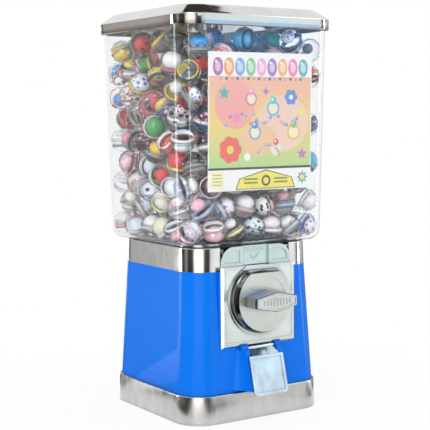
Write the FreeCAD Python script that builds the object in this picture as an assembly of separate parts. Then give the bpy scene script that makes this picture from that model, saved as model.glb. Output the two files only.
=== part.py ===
"""A coin-operated capsule vending machine: square clear globe, chrome lid, collar and base, painted body.

Millimetres, +Z up, front towards -Y, origin at the middle of the base's underside.
Each function below makes one piece, and the list at the end writes one STEP file per piece.
"""

import FreeCAD, Part
import math
import os

from FreeCAD import Vector

# Clearances shared by every fit
RUNNING = 0.08
SLIDING = 0.3
SEAT_GAP = 0.05

# Base pan
BASE_HALF = 91.0
BASE_DRAFT = 0.6
BASE_TOP_HALF = BASE_HALF - BASE_DRAFT
BASE_RADIUS = 32.0
BASE_HEIGHT = 31.3
BASE_FLOOR = 5.0
BASE_WALL = 6.0
BASE_REBATE = 7.3
BASE_LEDGE = BASE_HEIGHT - BASE_REBATE
BASE_LIP_ROUND = 1.2
STAND_HOLE_R = 3.5
STAND_SPACING = 76.0
ROD_BOSS_R = 15.0
ROD_BOSS_HEIGHT = 10.0
NUT_RECESS_R = 9.0
NUT_RECESS_DEPTH = 6.0

# Body housing
BODY_SETBACK = 3.35
BODY_HALF = BASE_HALF - BODY_SETBACK
BODY_TAPER = 6.28
BODY_TOP_HALF = BODY_HALF - BODY_TAPER
BODY_RADIUS = 28.4
BODY_HEIGHT = 133.0
BODY_TOP = BASE_HEIGHT + BODY_HEIGHT
BODY_WALL = 2.5
PANEL_HALF = 50.5
PANEL_SETBACK = 1.05
PANEL_FRONT = BODY_HALF - PANEL_SETBACK
PANEL_THICK = 6.6
PANEL_BACK = PANEL_FRONT - PANEL_THICK
PANEL_ROUND = 1.5

# Collar, gasket, globe and lid
COLLAR_HEIGHT = 25.9
COLLAR_TOP = BODY_TOP + COLLAR_HEIGHT
COLLAR_TAPER = 0.63
COLLAR_TOP_HALF = BODY_TOP_HALF - COLLAR_TAPER
COLLAR_WALL = 3.0
COLLAR_ROUND = 1.5
SHELF_THICK = 3.0
GASKET_THICK = 1.5
GASKET_INSET = 1.24
GASKET_HALF = COLLAR_TOP_HALF - GASKET_INSET
GLOBE_OVERHANG = 12.16
GLOBE_HALF = COLLAR_TOP_HALF + GLOBE_OVERHANG
GLOBE_FLARE = 4.8
GLOBE_TOP_HALF = GLOBE_HALF + GLOBE_FLARE
GLOBE_RADIUS = 24.3
GLOBE_HEIGHT = 242.5
GLOBE_TOP = COLLAR_TOP + GASKET_THICK + GLOBE_HEIGHT
GLOBE_WALL = 2.5
GLOBE_EDGE = 13.0
LID_SKIRT = 3.8
LID_HALF = GLOBE_TOP_HALF + LID_SKIRT
LID_CORNER = 3.6
LID_RADIUS = GLOBE_RADIUS + LID_CORNER
LID_OVERLAP = 8.5
LID_BOTTOM = GLOBE_TOP - LID_OVERLAP
LID_RIM = 11.9
LID_RIM_TOP = LID_BOTTOM + LID_RIM
LID_CROWN = 10.4
LID_TOP = LID_RIM_TOP + LID_CROWN
LID_WALL = 2.6
LID_STEP = 1.2
CROWN_INSET = 11.0
CROWN_ROUND = 7.0

# Lock and centre rod
ROD_R = 4.0
ROD_FOOT = 1.0
ROD_SHY = 10.0
ROD_TOP = LID_TOP - ROD_SHY
LOCK_R = 11.0
LOCK_FLANGE_R = 13.5
LOCK_FLANGE = 2.2
LOCK_DEPTH = 20.0
LOCK_FOOT = LID_TOP - LOCK_DEPTH
PLUG_R = 7.0
PLUG_DEPTH = 8.0
PLUG_PROUD = 0.6
KEY_SLOT = (1.6, 8.0, 4.0)
LOCK_NUT_R = 16.0
LOCK_NUT_THICK = 4.0
NUT_R = 7.5
NUT_THICK = 5.0

# Display card inside the globe's front wall
CARD_WIDTH = 136.4
CARD_LIFT = 59.5
CARD_BOTTOM = COLLAR_TOP + GASKET_THICK + CARD_LIFT
CARD_HEIGHT = 147.3
CARD_TOP = CARD_BOTTOM + CARD_HEIGHT
CARD_THICK = 0.6

# Dispensing cup and wheel
CUP_INSET = 9.74
CUP_R = COLLAR_TOP_HALF - CUP_INSET
CUP_WALL = 2.5
CUP_RIM = 5.5
CUP_FLANGE_R = CUP_R + CUP_RIM
CUP_DROP = 53.2
CUP_FLOOR_BOTTOM = COLLAR_TOP - CUP_DROP
CUP_FLOOR = 3.2
WHEEL_GAP = 0.5
WHEEL_R = CUP_R - CUP_WALL - WHEEL_GAP
WHEEL_LIFT = 0.4
WHEEL_THICK = 30.4
WHEEL_FOOT = CUP_FLOOR_BOTTOM + CUP_FLOOR + WHEEL_LIFT
WHEEL_TOP = WHEEL_FOOT + WHEEL_THICK
POCKETS = 6
POCKET_R = 15.7
DROP_GROW = 0.5
DROP_R = POCKET_R + DROP_GROW
WHEEL_HUB_R = 13.0
WHEEL_HUB_RISE = 7.0
BRUSH_HALF = 18.0
BRUSH_THICK = 4.0
BRUSH_LIFT = 5.0

# Gear pair: crown teeth under the wheel's rim, pinion on the knob shaft
PINION_TEETH = 12
CROWN_TEETH = PINION_TEETH * POCKETS
CROWN_MARGIN = 3.5
CROWN_R = WHEEL_R - CROWN_MARGIN
PINION_R = CROWN_R * PINION_TEETH / CROWN_TEETH
PINION_FACE = 5.0
CROWN_SIDE = 0.8
CROWN_INNER = CROWN_R - PINION_FACE / 2 - CROWN_SIDE
POCKET_MARGIN = 3.5
POCKET_CIRCLE = CROWN_INNER - POCKET_R - POCKET_MARGIN
PINION_TIP = 1.6
PINION_ROOT = 2.5
PINION_TOOTH = 1.8
CROWN_TIP = 1.25
CROWN_RELIEF = 0.9
CROWN_GAP = 3.3
TIP_CLEARANCE = 0.8
FLANK_DEG = 20.0

# Coin mechanism
AXIS_Z = WHEEL_FOOT + CROWN_RELIEF + CROWN_TIP - PINION_R
MECH_OPENING_HALF = 40.0
MECH_OPENING_DROP = 40.0
MECH_OPENING_BOTTOM = AXIS_Z - MECH_OPENING_DROP
PLATE_HALF = 47.0
PLATE_BEVEL = 2.4
PLATE_RISE = 2.4
PLATE_FRONT = PANEL_FRONT + PLATE_RISE
PLATE_DROP = 49.5
PLATE_BOTTOM = AXIS_Z - PLATE_DROP
PLATE_SHOULDER = 4.2
PLATE_STEP = BODY_TOP + PLATE_SHOULDER
PLATE_INSET = 3.1
PLATE_INSIDE = PANEL_FRONT - PLATE_INSET
ARCH_HALF = 46.0
ARCH_SETBACK = 5.7
ARCH_FRONT = PLATE_FRONT - ARCH_SETBACK
ARCH_THICK = 5.9
ARCH_BACK = ARCH_FRONT - ARCH_THICK
ARCH_SHY = 0.2
ARCH_TOP = COLLAR_TOP - ARCH_SHY
ARCH_RADIUS = 16.0
COIN_HALF = 17.7
COIN_DEPTH = 3.5
COIN_FLOOR = ARCH_FRONT - COIN_DEPTH
COIN_SLOT_RISE = 18.0
COIN_SLOT_BOTTOM = AXIS_Z + COIN_SLOT_RISE
PAD_INSET = 4.0
PAD_DEPTH = 0.7
BEZEL_R = 40.5
BEZEL_RISE = 2.0
KNOB_R = 38.0
KNOB_FACE_R = 35.0
KNOB_FLAT = 32.5
KNOB_FACE_FLAT = 29.5
KNOB_RISE = 5.5
KNOB_RIM = PLATE_FRONT + KNOB_RISE
KNOB_DOME = 6.1
KNOB_FACE = KNOB_RIM + KNOB_DOME
GRIP_HEIGHT = 22.0
GRIP_FRONT = KNOB_FACE + GRIP_HEIGHT
GRIP_HALF = 26.4
GRIP_END_HALF = 5.5
GRIP_MID_HALF = 11.0
GRIP_BEVEL = 0.9
GRIP_PANEL = 2.2
GRIP_PANEL_DEPTH = 0.5
SHAFT_R = 4.0
SHAFT_TAIL = 1.0
SHAFT_BACK = CROWN_R - PINION_FACE / 2 - SHAFT_TAIL
CARRIER_R = 30.0
CARRIER_GAP = 0.5
CARRIER_FRONT = PLATE_INSIDE - CARRIER_GAP
CARRIER_THICK = 6.0
CARRIER_BACK = CARRIER_FRONT - CARRIER_THICK
COIN_R = 12.4
COIN_CENTRE = 19.0
BACKPLATE_FRONT = CARRIER_BACK - CARRIER_GAP
BACKPLATE_THICK = 2.5
BACKPLATE_HALF = 38.0
BACKPLATE_DROP = 35.0
BACKPLATE_BOTTOM = AXIS_Z - BACKPLATE_DROP
BACKPLATE_RISE = 33.0
BACKPLATE_TOP = AXIS_Z + BACKPLATE_RISE
POST_R = 3.5
POST_X = 33.0
POST_DROP = 29.0
POST_RISE = 28.0
POST_Z = (AXIS_Z - POST_DROP, AXIS_Z + POST_RISE)
SCREW_R = 1.5
SCREW_HEAD_R = 3.0
SCREW_HEAD = 1.8
CLIP_R = 6.5
CLIP_THICK = 1.0
PAWL_REACH = 34.5
PAWL_RISE = 11.0
PAWL_PIVOT = (-PAWL_REACH, AXIS_Z + PAWL_RISE)
PAWL_HUB_R = 2.6
PAWL_THICK = 4.0
PAWL_DROP = 6.0
PAWL_TIP_Z = AXIS_Z - PAWL_DROP
PAWL_SPRING_WIRE = 0.3

# Chute mouth on the body's front
HINGE_PROUD = 0.85
HINGE_Y = BODY_HALF + HINGE_PROUD
HINGE_DROP = 54.0
HINGE_Z = AXIS_Z - HINGE_DROP
EAR_R = 5.5
EAR_INNER = 17.9
EAR_LENGTH = 8.1
EAR_OUTER = EAR_INNER + EAR_LENGTH
MOUTH_GROW = 0.4
MOUTH_HALF = EAR_INNER + MOUTH_GROW
SILL_RISE = 4.7
MOUTH_SILL = BASE_HEIGHT + SILL_RISE
CHEEK_RISE = 2.7
CHEEK_BOTTOM = BASE_HEIGHT + CHEEK_RISE
CHEEK_RIDGE = 24.5
CHEEK_FLARE = 46.0
CHEEK_TOP_FLARE = 29.0

# Flap door
FLAP_HALF = 22.4
FLAP_DROP = 6.4
FLAP_TOP_Z = HINGE_Z - FLAP_DROP
FLAP_REACH = 12.5
FLAP_TOP_Y = HINGE_Y + FLAP_REACH
FLAP_HEIGHT = 41.9
FLAP_BOTTOM_Z = FLAP_TOP_Z - FLAP_HEIGHT
FLAP_KICK = 10.8
FLAP_BOTTOM_Y = FLAP_TOP_Y + FLAP_KICK
FLAP_THICK = 3.0
FLAP_RIM = 3.2
FLAP_DISH = 1.0
FLAP_CORNER = 5.0
FLAP_SIDE_GAP = 0.5
FLAP_NECK_HALF = EAR_INNER - FLAP_SIDE_GAP
BARREL_R = 3.3
PIN_R = 1.5

# Inner chute from the drop hole to the mouth
CHUTE_WALL = 1.5
CHUTE_HALF = MOUTH_HALF - SLIDING - CHUTE_WALL
CHUTE_SETBACK = 2.6
CHUTE_END = PANEL_FRONT - CHUTE_SETBACK
CHUTE_MOUTH_DROP = 6.0
CHUTE_MOUTH_TOP = HINGE_Z - CHUTE_MOUTH_DROP
CHUTE_ROOF_RISE = 14.0
CHUTE_ROOF_Z = HINGE_Z + CHUTE_ROOF_RISE
CHUTE_LIP = 18.0
CHUTE_FLOOR_Y = CHUTE_END - CHUTE_LIP
CHUTE_FLOOR_RISE = 7.2
CHUTE_FLOOR_Z = BASE_HEIGHT + CHUTE_FLOOR_RISE
CHUTE_SLOPE_RISE = 22.0
CHUTE_SLOPE_TOP = HINGE_Z + CHUTE_SLOPE_RISE
CHUTE_FLANGE_HALF = 26.0
CHUTE_FLANGE = 1.5
CHUTE_FLANGE_RISE = 8.0
CHUTE_FLANGE_TOP = HINGE_Z + CHUTE_FLANGE_RISE
CHUTE_FLANGE_FOOT = 8.7
CHUTE_FLANGE_BOTTOM = BASE_HEIGHT + CHUTE_FLANGE_FOOT
CHUTE_SCREW_X = 22.0
CHUTE_SCREW_FOOT = 16.7
CHUTE_SCREW_RISE = 2.0
CHUTE_SCREW_Z = (BASE_HEIGHT + CHUTE_SCREW_FOOT, HINGE_Z + CHUTE_SCREW_RISE)

UP = Vector(0, 0, 1)
FRONT = Vector(0, -1, 0)
RIGHT = Vector(1, 0, 0)


# Shared shapes

def rounded_square(half, radius, z):
    """A closed wire: a square of that half-width with rounded corners, at height z."""
    edges = []
    flat = half - radius
    diagonal = radius * math.sqrt(0.5)
    for quarter in range(4):
        turn = FreeCAD.Rotation(UP, 90 * quarter)
        start, end = Vector(half, -flat, z), Vector(half, flat, z)
        middle = Vector(flat + diagonal, flat + diagonal, z)
        last = Vector(flat, half, z)
        edges.append(Part.LineSegment(turn.multVec(start), turn.multVec(end)).toShape())
        edges.append(Part.Arc(turn.multVec(end), turn.multVec(middle), turn.multVec(last)).toShape())
    return Part.Wire(edges)


def tapered(*sections):
    """A solid through rounded squares, each given as (half, radius, z)."""
    return Part.makeLoft([rounded_square(*section) for section in sections], True, True)


def straight(half, radius, z0, z1):
    """A rounded square block with upright sides."""
    return tapered((half, radius, z0), (half, radius, z1))


def box(x0, x1, y0, y1, z0, z1):
    return Part.makeBox(x1 - x0, y1 - y0, z1 - z0, Vector(x0, y0, z0))


def rod(radius, start, direction, length):
    return Part.makeCylinder(radius, length, start, direction)


def upright(radius, z0, z1, x=0.0, y=0.0):
    return rod(radius, Vector(x, y, z0), UP, z1 - z0)


def fore(radius, front, back, x=0.0, z=AXIS_Z):
    """A cylinder along Y between two distances in front of the machine's middle."""
    return rod(radius, Vector(x, -back, z), FRONT, front - back)


def extruded(points, direction):
    wire = Part.makePolygon([Vector(*p) for p in points + points[:1]])
    return Part.Face(wire).extrude(direction)


def side_profile(points, half):
    """A solid from (distance in front, height) points, across X from -half to half."""
    return extruded([(-half, -front, z) for front, z in points], Vector(2 * half, 0, 0))


def hexagon(radius, z0, z1):
    angles = [math.radians(60 * k) for k in range(6)]
    points = [(radius * math.cos(a), radius * math.sin(a), z0) for a in angles]
    return extruded(points, Vector(0, 0, z1 - z0))


def edges_at(shape, test):
    """The shape's edges whose whole length passes the test."""
    return [e for e in shape.Edges if all(test(v.Point) for v in e.Vertexes)]


def at_height(shape, z):
    return edges_at(shape, lambda p: abs(p.z - z) < 1e-4)


def along_y(edges):
    """Those edges that run straight from front to back."""
    ends = [(e, e.Vertexes[0].Point, e.Vertexes[-1].Point) for e in edges]
    return [e for e, a, b in ends if abs(a.x - b.x) < 1e-4 and abs(a.z - b.z) < 1e-4]


def mirrored(shape):
    return shape.fuse(shape.mirror(Vector(0, 0, 0), RIGHT))


def single(shape):
    """One clean solid."""
    shape = shape.removeSplitter()
    return shape.Solids[0] if len(shape.Solids) == 1 else shape


# Base, body and the parts that clamp them

def base_pan():
    outer = tapered((BASE_HALF, BASE_RADIUS, 0), (BASE_TOP_HALF, BASE_RADIUS, BASE_HEIGHT))
    outer = outer.makeFillet(BASE_LIP_ROUND, at_height(outer, BASE_HEIGHT))
    nest = straight(BODY_HALF + SLIDING, BODY_RADIUS + SLIDING, BASE_LEDGE, BASE_HEIGHT + 1)
    tray = straight(BASE_HALF - BASE_WALL, BASE_RADIUS - BASE_WALL, BASE_FLOOR, BASE_LEDGE)
    pan = outer.cut(nest.fuse(tray)).fuse(upright(ROD_BOSS_R, 0, ROD_BOSS_HEIGHT))
    holes = [upright(NUT_RECESS_R, 0, NUT_RECESS_DEPTH), upright(ROD_R + SLIDING, 0, ROD_BOSS_HEIGHT)]
    reach = STAND_SPACING / 2
    holes += [upright(STAND_HOLE_R, 0, BASE_FLOOR, x, y) for x in (-reach, reach) for y in (-reach, reach)]
    return single(pan.cut(Part.makeCompound(holes)))


def flap_lean():
    return math.atan2(FLAP_BOTTOM_Y - FLAP_TOP_Y, FLAP_TOP_Z - FLAP_BOTTOM_Z)


def flap_back(z):
    """How far in front of the middle the closed flap's back face is at that height."""
    slope = math.tan(flap_lean())
    return FLAP_TOP_Y + (FLAP_TOP_Z - z) * slope - FLAP_THICK / math.cos(flap_lean())


def cheek_section(z, flare):
    """The chute mouth's outline at one height: flat front, sides sweeping out into the panel."""
    front, back = flap_back(z) - SLIDING, PANEL_BACK
    sweep = Part.BezierCurve()
    sweep.setPoles([
        Vector(-CHEEK_RIDGE, -front, z),
        Vector(-CHEEK_RIDGE - 2, -PANEL_FRONT - 1, z),
        Vector(-flare, -PANEL_FRONT + 0.4, z),
    ])
    left = sweep.toShape()
    right = left.mirror(Vector(0, 0, 0), RIGHT)
    face = Part.LineSegment(Vector(-CHEEK_RIDGE, -front, z), Vector(CHEEK_RIDGE, -front, z)).toShape()
    sides = [
        Part.LineSegment(Vector(s * flare, -PANEL_FRONT + 0.4, z), Vector(s * flare, -back, z)).toShape()
        for s in (-1, 1)
    ]
    rear = Part.LineSegment(Vector(-flare, -back, z), Vector(flare, -back, z)).toShape()
    return Part.Wire(Part.__sortEdges__([left, face, right, sides[0], sides[1], rear]))


def body_outline(inset):
    half, top = BODY_HALF - inset, BODY_TOP_HALF - inset
    radius = BODY_RADIUS - inset
    return tapered((half, radius, BASE_LEDGE), (half, radius, BASE_HEIGHT), (top, radius, BODY_TOP))


def body_housing():
    shell = body_outline(0).cut(body_outline(BODY_WALL))
    panel = box(-PANEL_HALF, PANEL_HALF, -PANEL_FRONT, -PANEL_BACK, BASE_HEIGHT, BODY_TOP)
    corners = edges_at(panel, lambda p: abs(p.y + PANEL_FRONT) < 1e-4)
    panel = panel.makeFillet(PANEL_ROUND, [e for e in corners if e.Length > 2 * PANEL_HALF])
    cheeks = Part.makeLoft(
        [cheek_section(CHEEK_BOTTOM, CHEEK_FLARE), cheek_section(HINGE_Z, CHEEK_TOP_FLARE)], True, True
    )
    ears = mirrored(rod(EAR_R, Vector(EAR_INNER, -HINGE_Y, HINGE_Z), RIGHT, EAR_OUTER - EAR_INNER))
    body = shell.fuse([panel, cheeks, ears])
    reach = FLAP_BOTTOM_Y + 10
    mouth = box(-MOUTH_HALF, MOUTH_HALF, -reach, -PANEL_BACK + 5, MOUTH_SILL, HINGE_Z + 2 * EAR_R)
    half = MECH_OPENING_HALF
    opening = box(-half, half, -PANEL_FRONT - 1, -PANEL_BACK + 5, MECH_OPENING_BOTTOM, BODY_TOP + 1)
    pin_hole = rod(PIN_R + RUNNING, Vector(-EAR_OUTER - 1, -HINGE_Y, HINGE_Z), RIGHT, 2 * EAR_OUTER + 2)
    screws = [
        fore(SCREW_R + SLIDING / 2, PANEL_FRONT - 2, PANEL_BACK - 1, s * CHUTE_SCREW_X, z)
        for s in (-1, 1) for z in CHUTE_SCREW_Z
    ]
    return single(body.cut(Part.makeCompound([mouth, opening, pin_hole] + screws)))


def collar():
    radius = BODY_RADIUS
    outer = tapered((BODY_TOP_HALF, radius, BODY_TOP), (COLLAR_TOP_HALF, radius, COLLAR_TOP))
    outer = outer.makeFillet(COLLAR_ROUND, at_height(outer, COLLAR_TOP))
    inner = tapered(
        (BODY_TOP_HALF - COLLAR_WALL, radius - COLLAR_WALL, BODY_TOP),
        (COLLAR_TOP_HALF - COLLAR_WALL, radius - COLLAR_WALL, COLLAR_TOP),
    )
    shelf_top = COLLAR_TOP - SHELF_THICK
    shelf = inner.common(upright(2 * BODY_HALF, shelf_top - SHELF_THICK, shelf_top))
    shelf = shelf.cut(upright(CUP_R + SLIDING, BODY_TOP, COLLAR_TOP))
    ring = outer.cut(inner).fuse(shelf)
    notch = box(
        -ARCH_HALF - SLIDING, ARCH_HALF + SLIDING, -BODY_HALF, -ARCH_BACK + SLIDING, BODY_TOP, COLLAR_TOP + 1
    )
    return single(ring.cut(notch))


def globe_gasket():
    top = COLLAR_TOP + GASKET_THICK
    sheet = tapered((GASKET_HALF, BODY_RADIUS, COLLAR_TOP), (GASKET_HALF, BODY_RADIUS, top))
    return sheet.cut(upright(CUP_R - CUP_WALL, COLLAR_TOP, top))


def globe_half(z):
    """The globe's outer half-width at a height."""
    foot = COLLAR_TOP + GASKET_THICK
    return GLOBE_HALF + (GLOBE_TOP_HALF - GLOBE_HALF) * (z - foot) / (GLOBE_TOP - foot)


def globe_solid(inset, z0, z1, edge):
    """The globe's outline moved in by inset, with its lower edge rounded."""
    radius = GLOBE_RADIUS - inset
    solid = tapered((globe_half(z0) - inset, radius, z0), (globe_half(z1) - inset, radius, z1))
    return solid.makeFillet(edge, at_height(solid, z0))


def globe():
    foot = COLLAR_TOP + GASKET_THICK
    outer = globe_solid(0, foot, GLOBE_TOP, GLOBE_EDGE)
    inner = globe_solid(GLOBE_WALL, foot + GLOBE_WALL, GLOBE_TOP + 1, GLOBE_EDGE - GLOBE_WALL)
    return single(outer.cut(inner).cut(upright(CUP_R - CUP_WALL, foot, foot + 2 * GLOBE_WALL)))


def display_card():
    slope = math.atan2(globe_half(CARD_TOP) - globe_half(CARD_BOTTOM), CARD_TOP - CARD_BOTTOM)
    front = globe_half(CARD_BOTTOM) - GLOBE_WALL - SLIDING
    height = (CARD_TOP - CARD_BOTTOM) / math.cos(slope)
    sheet = box(-CARD_WIDTH / 2, CARD_WIDTH / 2, 0, CARD_THICK, 0, height)
    sheet.rotate(Vector(0, 0, 0), RIGHT, math.degrees(slope))
    sheet.translate(Vector(0, -front, CARD_BOTTOM))
    return sheet


def crown(inset, z0, z1, edge):
    radius = LID_RADIUS - LID_STEP
    solid = tapered(
        (LID_HALF - LID_STEP - inset, radius - inset, z0),
        (LID_HALF - LID_STEP - CROWN_INSET - inset, radius - inset, z1),
    )
    return solid.makeFillet(edge, at_height(solid, z1))


def lid():
    rim = tapered((LID_HALF, LID_RADIUS, LID_BOTTOM), (LID_HALF, LID_RADIUS, LID_RIM_TOP))
    rim = rim.makeFillet(LID_STEP, at_height(rim, LID_RIM_TOP) + at_height(rim, LID_BOTTOM))
    cover = rim.fuse(crown(0, LID_RIM_TOP, LID_TOP, CROWN_ROUND))
    ceiling = GLOBE_TOP + SLIDING
    mouth_half = GLOBE_TOP_HALF + SLIDING
    mouth_radius = GLOBE_RADIUS + SLIDING
    mouth = tapered((mouth_half, mouth_radius, LID_BOTTOM), (mouth_half, mouth_radius, ceiling))
    seat = 2 * LID_WALL
    hollow = crown(seat, ceiling, LID_TOP - LID_WALL, CROWN_ROUND - LID_WALL)
    return single(cover.cut(mouth.fuse(hollow)).cut(upright(LOCK_R, LID_BOTTOM, LID_TOP + 1)))


def lock_barrel():
    flange_top = LID_TOP + LOCK_FLANGE
    flange = upright(LOCK_FLANGE_R, LID_TOP, flange_top)
    flange = flange.makeFillet(LOCK_FLANGE / 2, at_height(flange, flange_top))
    barrel = upright(LOCK_R - SEAT_GAP, LOCK_FOOT, LID_TOP).fuse(flange)
    plug_floor = flange_top - PLUG_DEPTH
    return single(barrel.cut([
        upright(PLUG_R + RUNNING, plug_floor, flange_top),
        upright(ROD_R + SLIDING, LOCK_FOOT, ROD_TOP + SLIDING),
    ]))


def lock_plug():
    top = LID_TOP + LOCK_FLANGE + PLUG_PROUD
    plug = upright(PLUG_R, LID_TOP + LOCK_FLANGE - PLUG_DEPTH + SEAT_GAP, top)
    width, length, depth = KEY_SLOT
    return plug.cut(box(-width / 2, width / 2, -length / 2, length / 2, top - depth, top))


def lock_nut():
    top = LID_TOP - LID_WALL
    return hexagon(LOCK_NUT_R, top - LOCK_NUT_THICK, top).cut(upright(LOCK_R, 0, LID_TOP))


def centre_rod():
    return upright(ROD_R, ROD_FOOT, ROD_TOP)


def rod_nuts():
    bore = upright(ROD_R + SEAT_GAP, 0, ROD_TOP)
    under = hexagon(NUT_R, NUT_RECESS_DEPTH - NUT_THICK, NUT_RECESS_DEPTH)
    over = hexagon(NUT_R, ROD_BOSS_HEIGHT, ROD_BOSS_HEIGHT + NUT_THICK)
    return Part.makeCompound([under.cut(bore), over.cut(bore)])


# Dispensing cup, wheel and chute

def cup_floor_top():
    return CUP_FLOOR_BOTTOM + CUP_FLOOR


def wheel_cup():
    shell = upright(CUP_R, CUP_FLOOR_BOTTOM, COLLAR_TOP)
    shell = shell.fuse(upright(CUP_FLANGE_R, COLLAR_TOP - SHELF_THICK, COLLAR_TOP))
    well = upright(CUP_R - CUP_WALL, cup_floor_top(), COLLAR_TOP)
    drop = upright(DROP_R, CUP_FLOOR_BOTTOM, COLLAR_TOP, 0, -POCKET_CIRCLE)
    half = PINION_R + PINION_TIP + 1
    depth = PINION_FACE / 2 + 1
    window = box(-half, half, -CROWN_R - depth, -CROWN_R + depth, CUP_FLOOR_BOTTOM, cup_floor_top())
    return single(shell.cut([well, drop, window, upright(ROD_R + SLIDING, CUP_FLOOR_BOTTOM, COLLAR_TOP)]))


def crown_gap(z_foot, pitch_z, z_root):
    """One gap between crown teeth, at the front of the wheel."""
    slope = math.tan(math.radians(FLANK_DEG))
    low = CROWN_GAP / 2 + (pitch_z - z_foot) * slope
    high = CROWN_GAP / 2 - (z_root - pitch_z) * slope
    points = [(-low, -CROWN_INNER, z_foot), (low, -CROWN_INNER, z_foot)]
    points += [(high, -CROWN_INNER, z_root), (-high, -CROWN_INNER, z_root)]
    return extruded(points, FRONT * (WHEEL_R - CROWN_INNER + 1))


def wheel():
    foot = WHEEL_FOOT
    disc = upright(WHEEL_R, foot, WHEEL_TOP)
    hub = Part.makeCone(WHEEL_HUB_R, ROD_R * 2, WHEEL_HUB_RISE, Vector(0, 0, WHEEL_TOP), UP)
    tools = [upright(ROD_R + RUNNING, foot, WHEEL_TOP + WHEEL_HUB_RISE)]
    for k in range(POCKETS):
        pocket = upright(POCKET_R, foot, WHEEL_TOP, 0, -POCKET_CIRCLE)
        tools.append(pocket.rotated(Vector(0, 0, 0), UP, 360 / POCKETS * k))
    tips = foot + CROWN_RELIEF
    tools.append(upright(WHEEL_R + 1, foot, tips).cut(upright(CROWN_INNER, foot, tips)))
    pitch = tips + CROWN_TIP
    gap = crown_gap(tips, pitch, pitch + PINION_TIP + TIP_CLEARANCE)
    for k in range(CROWN_TEETH):
        tools.append(gap.rotated(Vector(0, 0, 0), UP, 360 / CROWN_TEETH * k))
    return single(disc.fuse(hub).cut(Part.makeCompound(tools)))


def sweep_brush():
    """The plate over the drop hole that keeps other capsules out of the pocket, with its bristle edges."""
    lift = WHEEL_TOP + BRUSH_LIFT
    reach = CUP_R - CUP_WALL
    plate = box(-BRUSH_HALF, BRUSH_HALF, -reach, -POCKET_CIRCLE + POCKET_R, lift, lift + BRUSH_THICK)
    return plate.common(upright(reach - SEAT_GAP, lift, lift + BRUSH_THICK))


def brush_bristles():
    lift = WHEEL_TOP + BRUSH_LIFT
    front, back = POCKET_CIRCLE + POCKET_R, POCKET_CIRCLE - POCKET_R
    return mirrored(box(BRUSH_HALF - 4, BRUSH_HALF, -front, -back, WHEEL_TOP + SLIDING, lift))


def chute_profile(grow):
    """The chute's side outline, moved out by grow on its walls."""
    back = POCKET_CIRCLE - DROP_R - grow
    front = POCKET_CIRCLE + DROP_R + grow
    top = CUP_FLOOR_BOTTOM - SLIDING
    return [
        (front, top), (front, CHUTE_ROOF_Z + grow), (CHUTE_END - 4, CHUTE_MOUTH_TOP + grow),
        (CHUTE_END, CHUTE_MOUTH_TOP + grow), (CHUTE_END, CHUTE_FLOOR_Z - grow),
        (CHUTE_FLOOR_Y - grow, CHUTE_FLOOR_Z - grow), (back, CHUTE_SLOPE_TOP - grow), (back, top),
    ]


def chute():
    tube = side_profile(chute_profile(CHUTE_WALL), CHUTE_HALF + CHUTE_WALL)
    flange_front = PANEL_BACK - SEAT_GAP
    flange = box(
        -CHUTE_FLANGE_HALF, CHUTE_FLANGE_HALF, -flange_front, -flange_front + CHUTE_FLANGE,
        CHUTE_FLANGE_BOTTOM, CHUTE_FLANGE_TOP,
    )
    holes = [
        fore(SCREW_R + SLIDING / 2, flange_front, flange_front - CHUTE_FLANGE, s * CHUTE_SCREW_X, z)
        for s in (-1, 1) for z in CHUTE_SCREW_Z
    ]
    bore = side_profile(chute_profile(0), CHUTE_HALF)
    return single(tube.fuse(flange).cut(Part.makeCompound(holes + [bore])))


def screw(head_front, head_back, tip, x, z):
    """A screw from behind: distances in front of the middle for its head's two faces and its tip."""
    return fore(SCREW_HEAD_R, head_front, head_back, x, z).fuse(fore(SCREW_R, tip, head_front, x, z))


def chute_screws():
    seat = PANEL_BACK - SEAT_GAP - CHUTE_FLANGE
    return Part.makeCompound([
        screw(seat, seat - SCREW_HEAD, PANEL_FRONT - 2.5, s * CHUTE_SCREW_X, z)
        for s in (-1, 1) for z in CHUTE_SCREW_Z
    ])


# Flap door

def flap_door():
    lean = flap_lean()
    length = math.hypot(FLAP_TOP_Z - FLAP_BOTTOM_Z, FLAP_BOTTOM_Y - FLAP_TOP_Y)
    plate = box(-FLAP_HALF, FLAP_HALF, 0, FLAP_THICK, -length, 0)
    plate = plate.makeFillet(FLAP_CORNER, along_y(at_height(plate, -length)))
    dish = box(-FLAP_HALF + FLAP_RIM, FLAP_HALF - FLAP_RIM, -1, FLAP_DISH, -length + FLAP_RIM, -FLAP_RIM)
    plate = plate.cut(dish)
    plate.rotate(Vector(0, 0, 0), RIGHT, -math.degrees(lean))
    plate.translate(Vector(0, -FLAP_TOP_Y, FLAP_TOP_Z))
    upper, lower = HINGE_Z + BARREL_R * 0.7, HINGE_Z - BARREL_R * 0.7
    inner_z = FLAP_TOP_Z - FLAP_THICK * math.sin(lean) - 1.5
    inner_y = flap_back(inner_z) + 0.5
    neck = side_profile(
        [(HINGE_Y, upper), (FLAP_TOP_Y - 1, FLAP_TOP_Z), (inner_y, inner_z), (HINGE_Y, lower)],
        FLAP_NECK_HALF,
    )
    barrel = rod(BARREL_R, Vector(-FLAP_NECK_HALF, -HINGE_Y, HINGE_Z), RIGHT, 2 * FLAP_NECK_HALF)
    bore = rod(PIN_R + RUNNING, Vector(-FLAP_HALF, -HINGE_Y, HINGE_Z), RIGHT, 2 * FLAP_HALF)
    return single(plate.fuse([neck, barrel]).cut(bore))


def hinge_pin():
    return rod(PIN_R, Vector(-EAR_OUTER, -HINGE_Y, HINGE_Z), RIGHT, 2 * EAR_OUTER)


# Coin mechanism

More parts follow.
